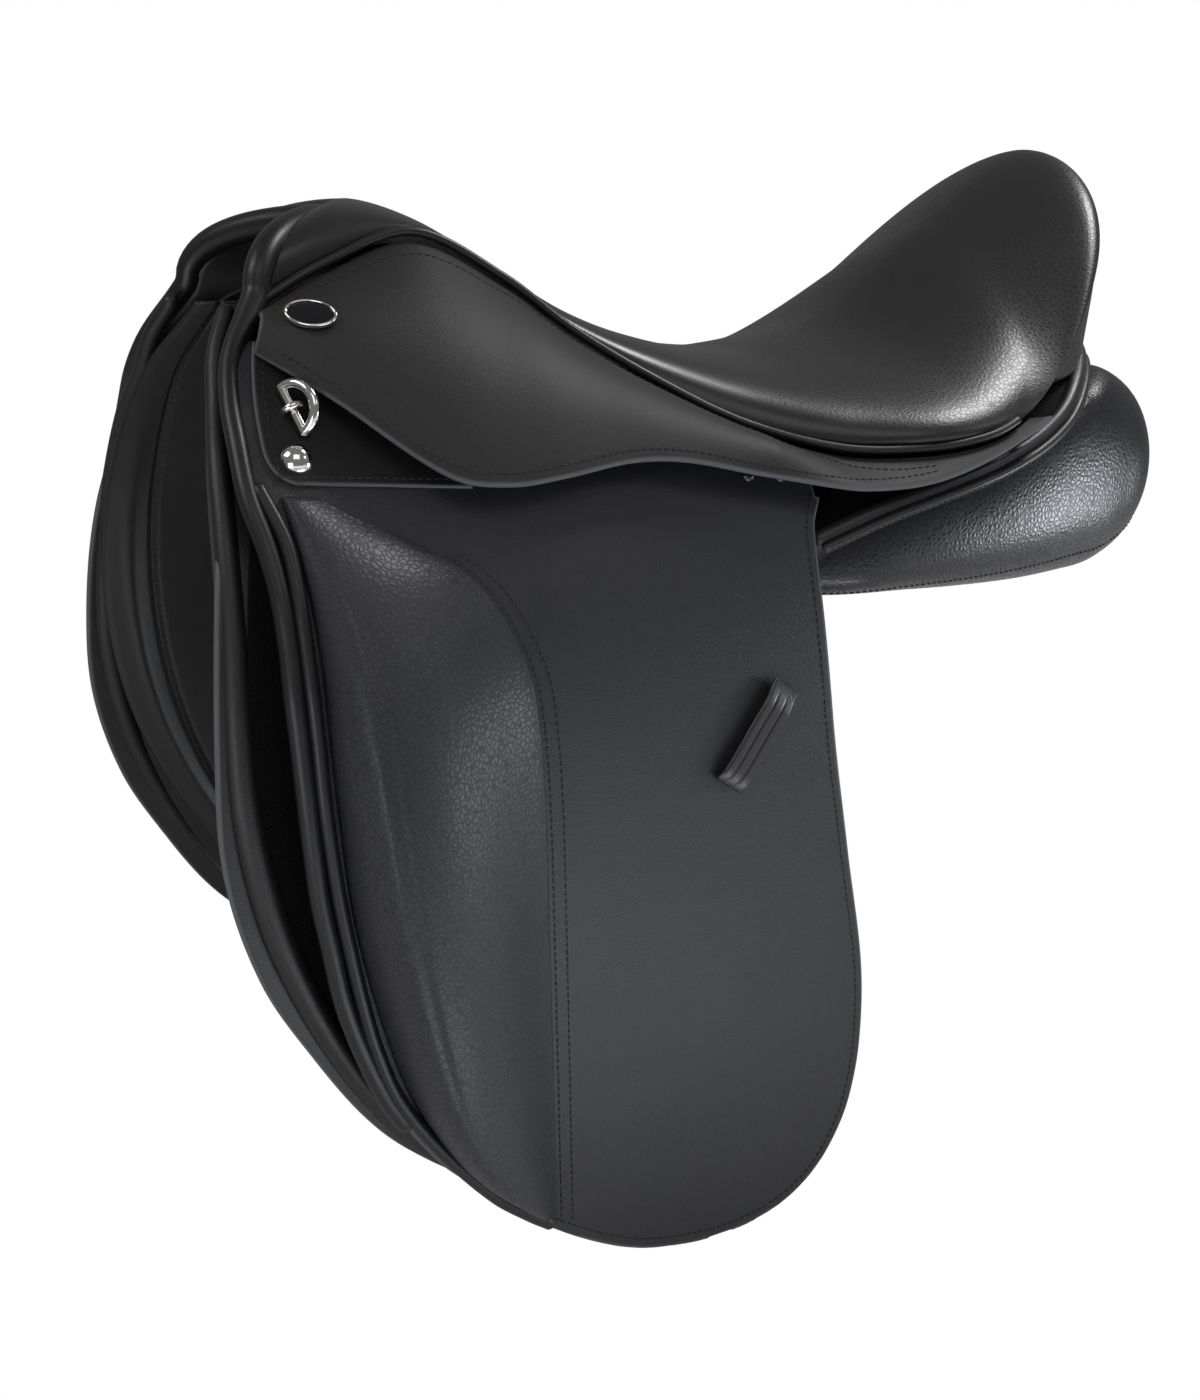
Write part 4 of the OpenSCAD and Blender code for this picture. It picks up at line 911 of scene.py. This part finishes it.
nickel = metal("nickel", (0.80, 0.78, 0.74), 0.10)
enamel = leather("enamel", (0.006, 0.006, 0.007), 300, 0.0, 0.08, 0.01)
spot = skirt_out(BADGE_S, BADGE_V)[0]
badge_n = unit(np.cross(skirt_out(BADGE_S + 0.05, BADGE_V)[0] - spot, skirt_out(BADGE_S, BADGE_V + 0.05)[0] - spot))
badge_n = badge_n * np.sign(badge_n[1])
badge_y = unit(np.cross(badge_n, [1, -0.2, 0.42]))
badge_x = np.cross(badge_y, badge_n)
face_r = np.sqrt(np.linspace(1, 0.0004, 12))
parts = [ovals(RIM[:, 0], RIM[:, 1]), dict(ovals(0.885 * face_r, 1.9 + 0.7 * (1 - face_r**2)), m=1)]
for obj, side in pair("badge_plate", parts, [nickel, enamel]):
    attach(obj, "saddle")
    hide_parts("badge_" + side)

# Metal fittings
# Dee rings, staples and dome nails in polished nickel, small dark nails, and forged steel stirrup bars with catches.


def dress(node, mat):
    """Give a solid of the frame its one material."""
    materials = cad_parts[node].data.materials
    materials.clear()
    materials.append(mat)


forged = metal("forged_steel", (0.50, 0.50, 0.52), 0.28, 500)
dark_nail = metal("dark_nail", (0.05, 0.05, 0.055), 0.3, 700)
for side in ("near", "off"):
    for node, mat in (("dee_ring_", nickel), ("dee_staple_", nickel), ("dome_nail_", nickel),
                      ("flap_tacks_", dark_nail), ("stirrup_bar_", forged), ("bar_catch_", forged)):
        dress(node + side, mat)

# Girth straps
# Two straight leather straps on each side, punched with holes, sewn to webs that come down from the tree. The webs are
# woven: over and under threads from two crossed waves.
strap_leather = leather("strap_leather", (0.020, 0.019, 0.019), 900, 0.2, 0.35, 0.1)
WEAVE = [("Wave", bands, {"Scale": 260}) for bands in ("X", "Z")]
web_fabric, _ = patterned("web_fabric", *shades((0.05, 0.048, 0.045), 0.45, 1), 0.4, 0.85, *WEAVE)
for side in ("near", "off"):
    for node, mat in (("billet_front_", strap_leather), ("billet_rear_", strap_leather), ("girth_web_", web_fabric)):
        dress(node + side, mat)

# Tree and seat filling
# Inside the seat: moulded tree with two steel springs, woven seat webs and a foam layer of even thickness under the
# cover. Moulding and foam have a fine even grain.


def moulded(name, colour, rough, grain, relief):
    """Moulded or foamed material: fine even grain from noise in tone and relief."""
    return patterned(name, *shades(colour, 0.7, 1.2), relief, rough, ("Noise", None, {"Scale": grain, "Detail": 4}))[0]


for node, mat in (("tree_frame", moulded("tree_moulding", (0.03, 0.03, 0.03), 0.6, 400, 0.2)),
                  ("tree_spring_near", forged), ("tree_spring_off", forged), ("seat_webs", web_fabric)):
    dress(node, mat)

s_rows, f_cols = np.linspace(0.7, 9.6, 90)[:, None], np.linspace(16, 164, 90)[None]
filling = make("seat_foam_pad", [shell(seat(s_rows, f_cols, 3.4), seat(s_rows, f_cols, 11.0))],
               [moulded("foam", (0.12, 0.11, 0.09), 0.9, 700, 0.6)])
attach(filling, "saddle")
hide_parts("seat_foam")
